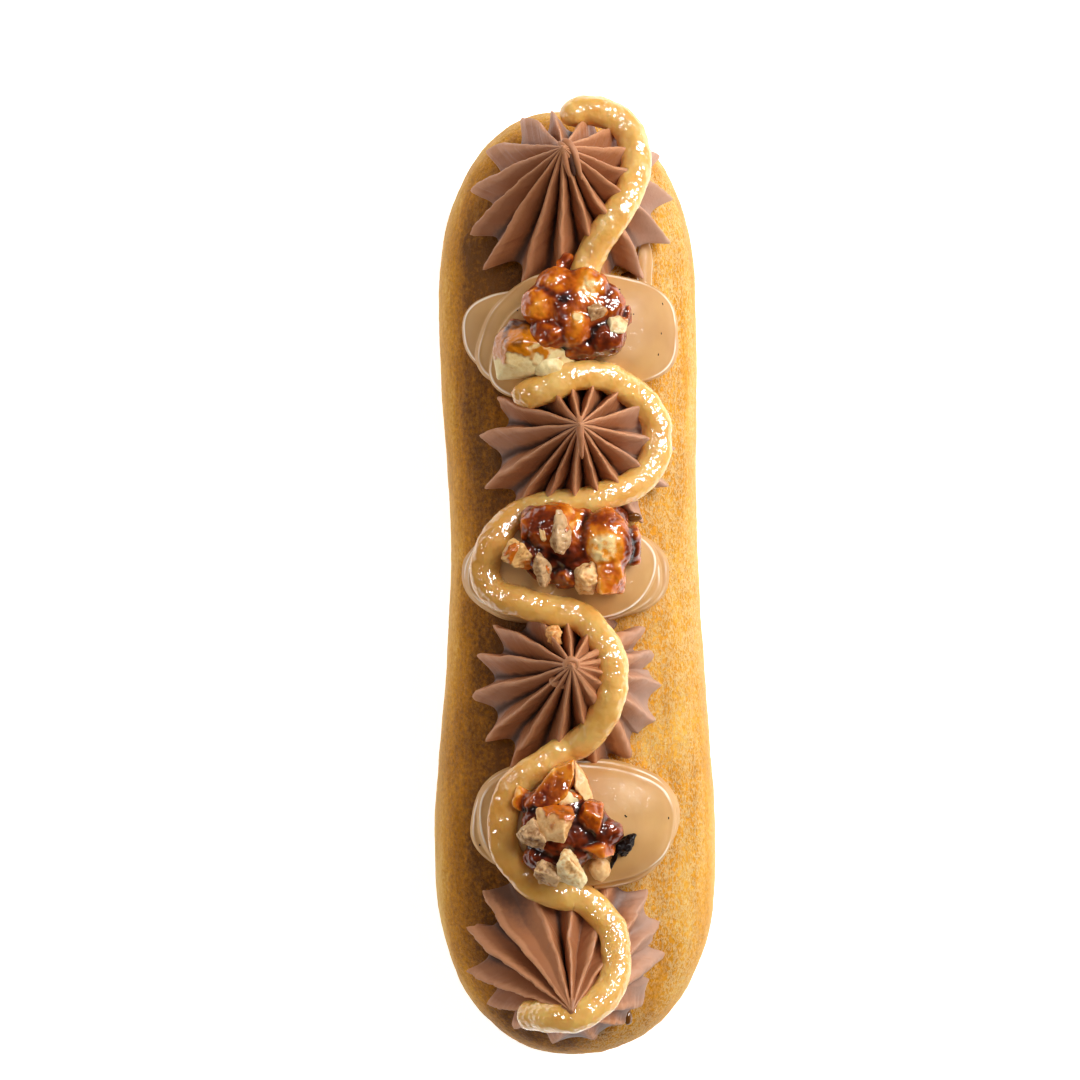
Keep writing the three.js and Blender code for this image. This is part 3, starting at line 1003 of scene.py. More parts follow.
@dataclass(frozen=True)
class NutFinish(Finish):
    """Broken nut: pale and finely crumbled, browner in its hollows as painted shade, soaked with caramel
    where it lies.
    """

    name: str = "broken_nut"
    pale: Colour = (248, 224, 172)
    tan: Colour = (228, 178, 114)
    brown: Colour = (172, 104, 52)
    gloss: float = 0.45
    glaze: Colour = (204, 104, 14)
    syrup: Colour = (92, 38, 10)
    dry: float = 0.6

    def paint(self, graph: PaintTree, surface: bpy.types.Node) -> None:
        """Wires the nut."""
        place = graph.place()
        hump = graph.share("hump")
        blotch = graph.noise(place, 300.0, 3.0, 0.55)
        crumb = graph.noise(place, 1500.0, 3.0, 0.6)
        # The hump share paints shade into the hollows and a painted highlight onto the humps.
        tone = hump * 0.7 + (blotch - 0.5) * 1.1 + (crumb - 0.5) * 0.5 + 0.2
        bare = graph.ramp(tone, [(0.15, self.brown), (0.42, self.tan), (0.68, self.pale)])
        film = graph.ease(graph.noise(place, 300.0, 2.0, 0.5, 0.5), self.dry, self.dry + 0.16, 0.0, 0.6)
        soak = graph.share("soak").at_least(film)
        wet = graph.ramp(soak, [(0.25, self.glaze), (0.62, self.glaze), (0.95, self.syrup)])
        cover = graph.ease(soak, 0.12, 0.36)
        graph.feed(surface.inputs["Base Color"], graph.mix(bare, wet, cover))
        set_gloss(surface, self.gloss, 0.15, 0.1, 0.05, depth=0.12, tint=(1.0, 0.6, 0.3), reach=1.0)
        graph.feed(surface.inputs["Coat Weight"], graph.blend(0.1, 0.9, cover))
        skin = graph.noise(place, 620.0, 1.0, 0.5, 0.4)
        graph.bump(surface, [(crumb, 0.15, 0.5), (skin * cover, 0.3, 1.0)], ("Normal", "Coat Normal"))


@dataclass(frozen=True)
class PlainFinish(Finish):
    """One even colour with a fine grain, for specks, burnt bits and drips."""

    name: str = "plain"
    colour: Colour = (40, 28, 20)
    rough: float = 0.5
    grain: float = 900.0
    relief: float = 0.1
    shine: float = 0.5

    def paint(self, graph: PaintTree, surface: bpy.types.Node) -> None:
        """Wires the colour."""
        place = graph.place()
        grain = graph.noise(place, self.grain, 3.0, 0.6)
        shade = tuple(int(channel * 0.8) for channel in self.colour)
        tone = graph.ramp(grain, [(0.3, shade), (0.6, self.colour)])
        graph.feed(surface.inputs["Base Color"], tone)
        set_gloss(surface, self.rough, self.shine)
        graph.bump(surface, [(grain, self.relief, 0.5)])


@dataclass(frozen=True)
class FloorFinish(Finish):
    """Even pale floor with a faint glow, as on a light table."""

    name: str = "pale_floor"
    colour: Colour = (252, 252, 252)
    glow: float = 0.8

    def paint(self, graph: PaintTree, surface: bpy.types.Node) -> None:
        """Sets the floor's colour."""
        surface.inputs["Base Color"].default_value = linear(*self.colour)
        surface.inputs["Emission Color"].default_value = linear(*self.colour)
        surface.inputs["Emission Strength"].default_value = self.glow
        set_gloss(surface, 0.7, 0.2)


CRUST = CrustFinish()
CHOCOLATE = ChocolateFinish()
PALE = PaleFinish()
CARAMEL = CaramelFinish()
AMBER = AmberFinish()
BARE = NutFinish()
SPLIT = NutFinish(
    "split_nut", (242, 218, 160), (230, 196, 132), (200, 150, 86), 0.4, (198, 114, 2), (70, 28, 4), dry=0.9
)
TOASTED = NutFinish("toasted_nut", (248, 202, 140), (228, 164, 96), (166, 96, 42), 0.4, dry=0.62)
SKIN = NutFinish("nut_skin", (214, 174, 126), (168, 122, 78), (94, 56, 30), 0.35, dry=0.66)
CRUMB = NutFinish("golden_crumb", (240, 178, 108), (220, 142, 70), (170, 90, 32), 0.5, dry=0.9)
SEARED = NutFinish("seared_nut", (226, 176, 110), (176, 116, 58), (100, 56, 24), 0.35, dry=0.6)
SYRUP = PlainFinish("dark_syrup", (122, 74, 26), 0.12, 500.0, 0.1)
BURNT = PlainFinish("burnt_nut", (22, 8, 5), 0.28, 1200.0, 0.3, 0.12)
SPECK = PlainFinish("vanilla_speck", (14, 8, 6), 0.5, 900.0, 0.05, 0.1)


# The shell


@dataclass
class ChouxShell:
    """The baked shell: a long loaf with rounded ends, a flat base and a slight waist."""

    length: float = 140.0
    upper: Point = (37.0, 38.2)
    waist: Point = (6.0, 36.7)
    lower: Point = (-39.0, 41.6)
    bend: float = -1.2
    bend_run: float = 46.67
    widest_z: float = 12.0
    crown_z: float = 27.0
    under_depth: float = 14.0
    cap_start: float = 41.3
    cap_power: float = 2.25
    cap_rise_power: float = 2.6
    section_power: float = 2.35
    least_half: float = 0.01
    top_reach: float = 0.93
    base_round: float = 1.0
    swell: float = 0.28
    ripple: float = 0.1
    fine: float = 0.05
    even_z: float = 4.0
    around: int = 220
    stations: int = 360

    def middle(self, y: np.ndarray) -> np.ndarray:
        """Sideways place of the shell's middle line."""
        return self.bend * smooth(y / self.bend_run)

    def half_width(self, y: np.ndarray) -> np.ndarray:
        """Half of the shell's width before the ends round off.

        Args:
            y: Places along the shell.

        Returns:
            Half widths.
        """
        (up_y, up), (waist_y, waist), (low_y, low) = self.upper, self.waist, self.lower
        above = waist + (up - waist) * smooth((y - waist_y) / (up_y - waist_y))
        below = waist + (low - waist) * smooth((waist_y - y) / (waist_y - low_y))
        return np.where(y > waist_y, above, below) / 2.0

    def caps(self, y: np.ndarray) -> tuple[np.ndarray, np.ndarray]:
        """How far the rounded ends narrow the shell.

        Args:
            y: Places along the shell.

        Returns:
            Shares left of the width and of the height.
        """
        run = self.length / 2.0 - self.cap_start
        share = np.clip((np.abs(y) - self.cap_start) / run, 0.0, 1.0)
        across = (1.0 - share**self.cap_power) ** (1.0 / self.cap_power)
        upward = (1.0 - share**self.cap_rise_power) ** (1.0 / self.cap_rise_power)
        return across, upward

    def aside(self, x: np.ndarray, y: np.ndarray) -> np.ndarray:
        """How far out places lie, from -1 at the left edge to 1 at the right.

        Args:
            x: Sideways places.
            y: Lengthwise places.

        Returns:
            Shares of the half width.
        """
        across, _ = self.caps(y)
        return (x - self.middle(y)) / (self.half_width(y) * across + self.least_half)

    def top(self, x: np.ndarray, y: np.ndarray) -> np.ndarray:
        """Height of the shell's upper skin.

        Args:
            x: Sideways places.
            y: Lengthwise places.

        Returns:
            Heights.
        """
        _, upward = self.caps(y)
        held = np.minimum(np.abs(self.aside(x, y)), self.top_reach) ** self.section_power
        rise = (1.0 - held) ** (1.0 / self.section_power)
        return self.widest_z + (self.crown_z - self.widest_z) * upward * rise

    def drape(self, x: np.ndarray, y: np.ndarray, share: float) -> np.ndarray:
        """How far a cream sinks where the shell falls away under it."""
        return share * (self.crown_z - self.top(x, y))

    def skin(self) -> Skin:
        """Works out the shell's smooth skin.

        Returns:
            Points and faces.
        """
        turn = np.linspace(0.0, math.pi, self.stations + 2)[1:-1]
        y = (-self.length / 2.0 * np.cos(turn))[:, None]
        angle = round_angles(self.around)[None, :]
        power = 2.0 / self.section_power
        side, lift = squarer(np.cos(angle), power), squarer(np.sin(angle), power)
        across, upward = self.caps(y)
        x = self.middle(y) + side * self.half_width(y) * across
        reach = np.where(lift > 0.0, self.crown_z - self.widest_z, self.under_depth)
        z = self.widest_z + lift * reach * upward
        round_off = self.base_round
        eased = (z + np.sqrt(z * z + round_off * round_off)) / 2.0
        z = np.where(z < 4.0 * round_off, eased, z)
        rings = np.stack(np.broadcast_arrays(x, y, z - z.min()), axis=-1)
        ends = []
        for tip in (-self.length / 2.0, self.length / 2.0):
            ends.append(np.array([self.middle(np.array(tip)), tip, self.widest_z]))
        return loft(ends[0], rings, ends[1])

    def build(self) -> bpy.types.Object:
        """Makes the crust.

        Returns:
            The crust piece.
        """
        points, faces = self.skin()
        mesh = new_mesh("choux_crust", points, faces)
        normal = normals_of(mesh)
        held = smooth(points[:, 2] / self.even_z)
        swell = soft_noise(points * np.array([1.0, 0.5, 1.0]), 9.0, 1.0)
        ripple = soft_noise(points * np.array([1.0, 0.35, 1.0]), 2.2, 2.0)
        fine = soft_noise(points, 0.9, 3.0, 2)
        rise = (self.swell * swell + self.ripple * ripple + self.fine * fine) * held
        move_points(mesh, points + normal * rise[:, None])
        # The stored share is mostly painted shade on the crust, with a little real browning.
        write_share(mesh, "browning_and_shade", self.browning_and_shade(points))
        return as_piece("choux_crust", mesh, [CRUST])

    def browning_and_shade(self, points: np.ndarray) -> np.ndarray:
        """How brown the crust is painted: a little real browning over the crown under the creams, and painted
        shade, most on the left shoulder beside the creams and at the lower end.

        Args:
            points: Rows of x, y, z on the crust.

        Returns:
            Shares from 0 to 1.
        """
        x, y, z = points.T
        left = smooth((0.45 - self.aside(x, y)) / 0.6)
        crown = smooth((z - 17.0) / 8.5)
        tail = smooth((-58.0 - y) / 8.0) * smooth((z - 12.0) / 6.0)
        return np.clip(crown * (0.16 + 0.84 * left) + 0.6 * tail * (0.4 + 0.6 * left), 0.0, 1.0)

    def dress(self, piece: bpy.types.Object) -> None:
        """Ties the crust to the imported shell."""
        settle(piece, Slot.CHOUX, "choux_shell")


# The rosettes


class RosetteTree(ShapeTree):
    """Shapes a flat grid into a rosette of thin fins that lean to one side."""

    LEVELS = 110
    STEPS_A_FIN = 26
    FINS = 15
    SKIRT_PART = 0.2
    WELD = 0.004
    SIZES = {
        "Radius": 14.0, "Ring Height": 28.5, "Rise": 15.5, "Skirt": 5.5, "Skirt Draw": 0.34, "Belly": 1.3,
        "Pinch": 0.25, "Ring Valley": 0.76, "Waist Valley": 0.54, "Peak Valley": 0.86, "Crest Width": 0.16,
        "Crest Round": 0.04, "Ring Flank": 2.3, "Waist Flank": 1.25, "Wave": 0.5, "Kink": 0.22, "Ragged": 0.8,
        "Base X": 0.0, "Base Y": 0.0, "Lean X": 0.0, "Lean Y": 0.0, "Turn": 0.0, "Seed": 1.0,
    }

    def __init__(self) -> None:
        """Wires the tree."""
        super().__init__("rosette_fins", self.SIZES)
        self.wire()

    def fin(self, name: str, index: Field) -> Field:
        """Reads a number stored for one fin.

        Args:
            name: Name of the stored number.
            index: Number of the fin.

        Returns:
            The stored number.
        """
        node = self.add("GeometryNodeSampleIndex", data_type="FLOAT", domain="POINT")
        self.feed(node.inputs["Geometry"], self.source.outputs["Geometry"])
        self.feed(node.inputs["Value"], self.named(name))
        self.feed(node.inputs["Index"], index)
        return Field(self, node.outputs[0])

    def sway(self, index: Field, level: Field) -> Field:
        """How far a fin strays from its even place, as a share of the spacing.

        Args:
            index: Number of the fin.
            level: Height share of the place on the fin.

        Returns:
            The stray.
        """
        seed = self.given("Seed")
        wander = self.noise(self.vector(index * 7.7, level * 2.4, seed * 3.1), 1.0, 1.0)
        kink = self.noise(self.vector(index * 5.1, level * 8.0, seed * 2.3), 1.0, 2.0)
        loose = (wander - 0.5) * self.given("Wave") + (kink - 0.5) * self.given("Kink")
        return self.fin("stray", index) + loose * self.ease(level, 1.0, 0.6)

    def wire(self) -> None:
        """Wires the rule that places every grid point on the rosette."""
        around = self.FINS * self.STEPS_A_FIN + 1
        sides = {"Size X": 1.0, "Size Y": 1.0, "Vertices X": around, "Vertices Y": self.LEVELS}
        grid = self.add("GeometryNodeMeshGrid")
        for name, number in sides.items():
            grid.inputs[name].default_value = number
        x, y, _ = self.parts(self.spot())
        along, up = x + 0.5, y + 0.5
        skirt = self.SKIRT_PART
        level = up.at_most(skirt) / skirt - 1.0 + (up - skirt).at_least(0.0) / (1.0 - skirt)
        below, above = (0.0 - level).at_least(0.0), level.at_least(0.0)
        reach = (1.0 - below**0.85 * self.given("Skirt Draw")) * (1.0 - above ** self.given("Belly"))
        reach = reach * (1.0 - above * self.given("Pinch"))
        waist, peak = self.ease(above, 0.0, 0.42), self.ease(above, 0.62, 0.96)
        valley = self.blend(self.given("Ring Valley"), self.given("Waist Valley"), waist)
        valley = self.blend(valley, self.given("Peak Valley"), peak) + below * 0.12
        spot = along * (self.FINS * 0.99999)
        index = self.math("FLOOR", spot)
        part = spot - index
        after = self.math("MODULO", index + 1.0, float(self.FINS))
        here, there = self.sway(index, level), self.sway(after, level)
        spacing = 2.0 * math.pi / self.FINS
        angle = (index + here + part * (1.0 + there - here)) * spacing + self.given("Turn")
        length = self.blend(self.fin("long", index), self.fin("long", after), part)
        away = 1.0 - self.math("ABSOLUTE", 1.0 - part * 2.0)
        size = reach * self.given("Radius") * length
        nearer = self.math("GREATER_THAN", part, 0.5)
        nearest = self.blend(index, after, nearer)
        broad = self.fin("broad", nearest) * reach
        wide = self.given("Crest Width") + broad
        flat = (wide / (size * spacing + 0.05)).at_most(0.75)
        size = size * (1.0 - broad * 0.05 * (away.at_most(flat) / flat) ** 2.0)
        fill = self.fin("fill", index)
        valley = self.blend(valley, 1.0, fill)
        off = ((away - flat) / (1.0 - flat)).at_least(0.0)
        off = off * off / (off + self.given("Crest Round")) * (1.0 + self.given("Crest Round"))
        flank = self.blend(self.given("Ring Flank"), self.given("Waist Flank"), self.ease(above, 0.0, 0.3))
        depth = 1.0 - (1.0 - off).at_least(0.0) ** flank
        ridge = 1.0 - off
        across = nearest * 5.3 + (part - nearer) * 1.5
        rag = self.noise(self.vector(across, level * 14.0, self.given("Seed") * 1.7), 1.0, 3.0, 0.7)
        torn = (rag - 0.5) * self.given("Ragged") * ridge**2.0 * self.ease(above, 1.0, 0.75)
        size = size * (1.0 - (1.0 - valley) * depth) + torn
        lean = above**0.85
        place = self.vector(
            self.given("Base X") + self.given("Lean X") * lean + size * self.math("COSINE", angle),
            self.given("Base Y") + self.given("Lean Y") * lean + size * self.math("SINE", angle),
            self.given("Ring Height") + above * self.given("Rise") - below * self.given("Skirt"),
        )
        # The stored ridge and level carry the painted valley shade, crest highlight and under-tip shade to
        # the chocolate finish.
        shape = self.store(grid.outputs["Mesh"], "ridge", self.blend(ridge, 0.55, fill * (1.0 - ridge)))
        shape = self.store(shape, "level", level - fill * 0.3)
        weld = self.add("GeometryNodeMergeByDistance")
        weld.inputs["Distance"].default_value = self.WELD * MM
        self.feed(weld.inputs["Geometry"], self.moved(shape, "Position", self.scaled(place, MM)))
        self.close(weld.outputs[0])


@dataclass(frozen=True)
class Fin:
    """One fin: degrees it strays, length share, extra crest width and fill of the next valley."""

    stray: float = 0.0
    long: float = 1.0
    broad: float = 0.0
    fill: float = 0.0


@dataclass(frozen=True)
class Strand:
    """A strand pulled from a peak: offsets along x, y and z with a radius, and its shade."""

    bends: Sequence[tuple[float, float, float, float]]
    ridge: float = 0.82
    level: float = 0.9


@dataclass
class Rosette:
    """One piped rosette of chocolate cream."""

    number: int
    x: float
    y: float
    radius: float
    lean: Point
    turn: float
    seed: float
    strands: Sequence[Strand]
    fins: Sequence[Fin]
    rise: float = 15.5
    ragged: float = 0.8
    waist: float = 0.54
    crown: float = 0.86
    ring_z: float = 28.5
    sink: float = 0.55
    strand_steps: int = 40
    strand_around: int = 18

    @property
    def node(self) -> str:
        """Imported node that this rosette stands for."""
        return f"chocolate_rosette_{self.number}"

    def build(self, tree: RosetteTree, shell: ChouxShell) -> bpy.types.Object:
        """Pipes the rosette.

        Args:
            tree: Tree that shapes the fins.
            shell: Shell that the rosette sits on.

        Returns:
            The rosette piece.
        """
        values = {
            "Radius": self.radius, "Ragged": self.ragged, "Waist Valley": self.waist,
            "Peak Valley": self.crown, "Ring Height": self.ring_z, "Rise": self.rise,
            "Base X": self.x, "Base Y": self.y, "Lean X": self.lean[0], "Lean Y": self.lean[1],
            "Turn": math.radians(self.turn), "Seed": self.seed, "Finish": CHOCOLATE.material(),
        }
        mesh = tree.grow(self.node, self.fin_list(), values)
        turn_outward(mesh)
        mesh = join_meshes(self.node, [mesh] + [self.strand(pulled) for pulled in self.strands])
        points = points_of(mesh)
        points[:, 2] -= shell.drape(points[:, 0], points[:, 1], self.sink)
        move_points(mesh, points)
        return as_piece(f"rosette_cream_{self.number}", mesh, [CHOCOLATE])

    def fin_list(self) -> bpy.types.Mesh:
        """Lists the fins as points that carry their own numbers.

        Returns:
            A mesh of one point for each fin.
        """
        mesh = bpy.data.meshes.new(self.node)
        mesh.from_pydata([(0.0, 0.0, 0.0)] * len(self.fins), [], [])
        spacing = 360.0 / len(self.fins)
        write_share(mesh, "stray", np.array([fin.stray / spacing for fin in self.fins]))
        for key in ("long", "broad", "fill"):
            write_share(mesh, key, np.array([getattr(fin, key) for fin in self.fins]))
        return mesh

    def strand(self, pulled: Strand) -> bpy.types.Mesh:
        """Pulls a short strand of cream from the peak.

        Args:
            pulled: The strand's bends and shade.

        Returns:
            The strand's mesh.
        """
        steps = self.strand_steps
        knots = np.array(pulled.bends, dtype=float)
        share = np.linspace(0.0, len(knots) - 1.0, steps)
        line = np.stack([np.interp(share, np.arange(len(knots)), column) for column in knots.T], axis=1)
        for _ in range(4):
            line[1:-1] = (line[:-2] + 2.0 * line[1:-1] + line[2:]) / 4.0
        line[:, :3] += np.array([self.x + self.lean[0], self.y + self.lean[1], self.ring_z + self.rise])
        ahead = unit(np.gradient(line[:, :3], axis=0))
        side = unit(np.cross(ahead, np.array([0.3, 0.2, 1.0])))
        over = np.cross(side, ahead)
        angle = round_angles(self.strand_around)[None, :, None]
        blunt = np.sqrt(np.clip(1.0 - np.linspace(-1.0, 1.0, steps) ** 8, 0.02, 1.0))
        ring = np.cos(angle) * side[:, None] + np.sin(angle) * over[:, None]
        rings = line[:, None, :3] + (line[:, 3] * blunt)[:, None, None] * ring
        points, faces = loft(line[0, :3], rings, line[-1, :3])
        mesh = new_mesh("strand", points, faces)
        write_share(mesh, "ridge", np.full(len(points), pulled.ridge))
        write_share(mesh, "level", np.full(len(points), pulled.level))
        return mesh

    def dress(self, piece: bpy.types.Object) -> None:
        """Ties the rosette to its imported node."""
        settle(piece, Slot.CHOCOLATE, self.node)


# The dollops


@dataclass(frozen=True)
class Fold:
    """One flat cushion of a dollop: its two sides, place, half sizes, slant and squareness."""

    left: float
    right: float
    y: float
    half: float
    z: float
    height: float
    slant: float = 0.0
    power: float = 2.3


@dataclass
class Dollop:
    """A dollop of pale cream folded over itself in flat cushions."""

    number: int
    folds: Sequence[Fold]
    seed: float
    seed_step: float = 1.7
    edge_power: float = 2.3
    sink: float = 0.85
    rim: float = 0.3
    rim_place: float = 0.965
    rim_width: float = 0.24
    rim_points: int = 900
    swell: float = 0.16
    voxel: float = 0.16
    around: int = 150
    lifts: int = 48

    @property
    def node(self) -> str:
        """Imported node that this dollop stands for."""
        return f"cream_dollop_{self.number}"

    def skin(
        self, fold: Fold, seed: float, shell: ChouxShell, angle: np.ndarray, lift: np.ndarray
    ) -> np.ndarray:
        """Places on one cushion's skin.

        Args:
            fold: Size and place of the cushion.
            seed: Unevenness of its outline.
            shell: Shell that the cushion drapes over.
            angle: Angles round the cushion.
            lift: Angles up from its edge.

        Returns:
            Array of x, y, z.
        """
        power = 2.0 / fold.power
        side, front = squarer(np.cos(angle), power), squarer(np.sin(angle), power)
        uneven = 1.0 + 0.02 * np.sin(3.0 * angle + seed) + 0.012 * np.sin(5.0 * angle + 2.3 * seed)
        out = np.cos(lift) ** (2.0 / self.edge_power)
        middle, half = (fold.left + fold.right) / 2.0, (fold.right - fold.left) / 2.0
        x = middle + half * out * uneven * side
        y = fold.y + fold.half * out * uneven * front
        x = x + fold.slant * (y - fold.y) * np.maximum(0.0, -side)
        edge = np.exp(-(((1.0 - out / self.rim_place) * half / self.rim_width) ** 2))
        z = fold.z + fold.height * np.sin(lift) + self.rim * edge * (lift > 0.0)
        x, y, z = np.broadcast_arrays(x, y, z)
        return np.stack([x, y, z - shell.drape(x, y, self.sink)], axis=-1)

    def cushion(self, fold: Fold, seed: float, shell: ChouxShell) -> Skin:
        """Works out one cushion.

        Args:
            fold: Size and place of the cushion.
            seed: Unevenness of its outline.
            shell: Shell that the cushion drapes over.

        Returns:
            Points and faces.
        """
        angle, lift = round_angles(self.around)[None, :], lift_angles(self.lifts)[:, None]
        rings = self.skin(fold, seed, shell, angle, lift)
        ends = []
        for sign in (-1.0, 1.0):
            spot = np.array([(fold.left + fold.right) / 2.0, fold.y, fold.z + sign * fold.height])
            spot[2] -= float(shell.drape(spot[0], spot[1], self.sink))
            ends.append(spot)
        return loft(ends[0], rings, ends[1])

    def rims(self, shell: ChouxShell) -> KDTree:
        """Finds the lines along which the folds thin out and are painted paler, partly as a painted
        highlight.

        Args:
            shell: Shell that the dollop sits on.

        Returns:
            Places along the rims, ready for a search.
        """
        angle = round_angles(self.rim_points)
        up = math.acos(self.rim_place ** (self.edge_power / 2.0))
        found = KDTree(self.rim_points * len(self.folds))
        for order, fold in enumerate(self.folds):
            seed = self.seed + self.seed_step * order
            line = self.skin(fold, seed, shell, angle, np.full_like(angle, up))
            for place, spot in enumerate(line.tolist()):
                found.insert(spot, order * self.rim_points + place)
        found.balance()
        return found

    def build(self, shell: ChouxShell) -> bpy.types.Object:
        """Lays the folds over each other and melts them together.

        Args:
            shell: Shell that the dollop sits on.

        Returns:
            The dollop piece.
        """
        skins = []
        for order, fold in enumerate(self.folds):
            skins.append(self.cushion(fold, self.seed + self.seed_step * order, shell))
        mesh = fused(self.node, new_mesh(self.node, *join_skins(skins)), self.voxel, 2)
        points = points_of(mesh)
        rims = self.rims(shell)
        away = np.array([rims.find(spot)[2] for spot in points.tolist()])
        # The rim share marks where the finish paints the cream paler, partly as a painted highlight.
        write_share(mesh, "rim", np.exp(-((away / self.rim_width) ** 2)))
        swell = soft_noise(points, 5.0, self.seed, 2)
        move_points(mesh, points + normals_of(mesh) * (self.swell * swell)[:, None])
        return as_piece(f"dollop_cream_{self.number}", mesh, [PALE])

    def dress(self, piece: bpy.types.Object) -> None:
        """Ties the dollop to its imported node."""
        settle(piece, Slot.PALE, self.node)


# The caramel line


@dataclass
class Landing:
    """The creams that later pieces come to rest on."""

    trees: list[BVHTree] = field(default_factory=list)
    above: float = 200.0

    def add(self, piece: bpy.types.Object) -> None:
        """Adds a piece to rest on.

        Args:
            piece: A finished piece.
        """
        faces = [tuple(face.vertices) for face in piece.data.polygons]
        self.trees.append(BVHTree.FromPolygons(points_of(piece.data).tolist(), faces))

    def height(self, x: float, y: float, floor: float = 0.0) -> float:
        """Finds the highest cream at a place.

        Args:
            x: Sideways place.
            y: Lengthwise place.
            floor: Height where nothing lies.

        Returns:
            The height.
        """
        best = floor
        for tree in self.trees:
            hit = tree.ray_cast(Vector((x, y, self.above)), DOWN)
            if hit[0] is not None:
                best = max(best, hit[0].z)
        return best


class PipedTree(ShapeTree):
    """Sweeps an uneven round line along a path."""

    AROUND = 40
    SIZES = {"Radius": 2.0, "Step": 0.28, "Lump": 0.24, "Lump Size": 2.2, "Skin": 0.02, "Skin Size": 0.8}

    def __init__(self) -> None:
        """Wires the tree."""
        super().__init__("piped_line", self.SIZES)
        curve = self.add("GeometryNodeMeshToCurve")
        self.feed(curve.inputs[0], self.source.outputs["Geometry"])
        spread = self.add("GeometryNodeResampleCurve", mode="LENGTH")
        self.feed(spread.inputs["Curve"], curve.outputs[0])
        self.feed(spread.inputs["Length"], self.given("Step") * MM)
        ring = self.add("GeometryNodeCurvePrimitiveCircle")
        ring.inputs["Resolution"].default_value = self.AROUND
        self.feed(ring.inputs["Radius"], self.given("Radius") * MM)
        sweep = self.add("GeometryNodeCurveToMesh")
        centred = self.store(spread.outputs[0], "centre", self.spot(), "FLOAT_VECTOR")
        self.feed(sweep.inputs["Curve"], centred)
        self.feed(sweep.inputs["Profile Curve"], ring.outputs[0])
        self.feed(sweep.inputs["Scale"], self.named("girth"))
        sweep.inputs["Fill Caps"].default_value = True
        x, y, z = self.parts(self.spot())
        _, _, middle = self.parts(self.named("centre", "FLOAT_VECTOR"))
        pressed = self.vector(x, y, middle + (z - middle) * self.named("squash"))
        shape = self.moved(sweep.outputs[0], "Position", pressed)
        lump = self.noise(self.sized("Lump Size"), 1.0, 1.0) - 0.5
        skin = self.noise(self.sized("Skin Size"), 1.0, 2.0) - 0.5
        rise = (lump * self.given("Lump") + skin * self.given("Skin")) * (2.0 * MM)
        normal = self.add("GeometryNodeInputNormal").outputs[0]
        self.close(self.moved(shape, "Offset", self.scaled(normal, rise)))

    def sized(self, size: str) -> bpy.types.NodeSocket:
        """Gives places divided by a named size in millimetres."""
        return self.scaled(self.spot(), 1.0 / (self.given(size) * MM))


@dataclass(frozen=True)
class Run:
    """One unbroken run of the caramel line, as plan bends."""

    bends: Sequence[Point]


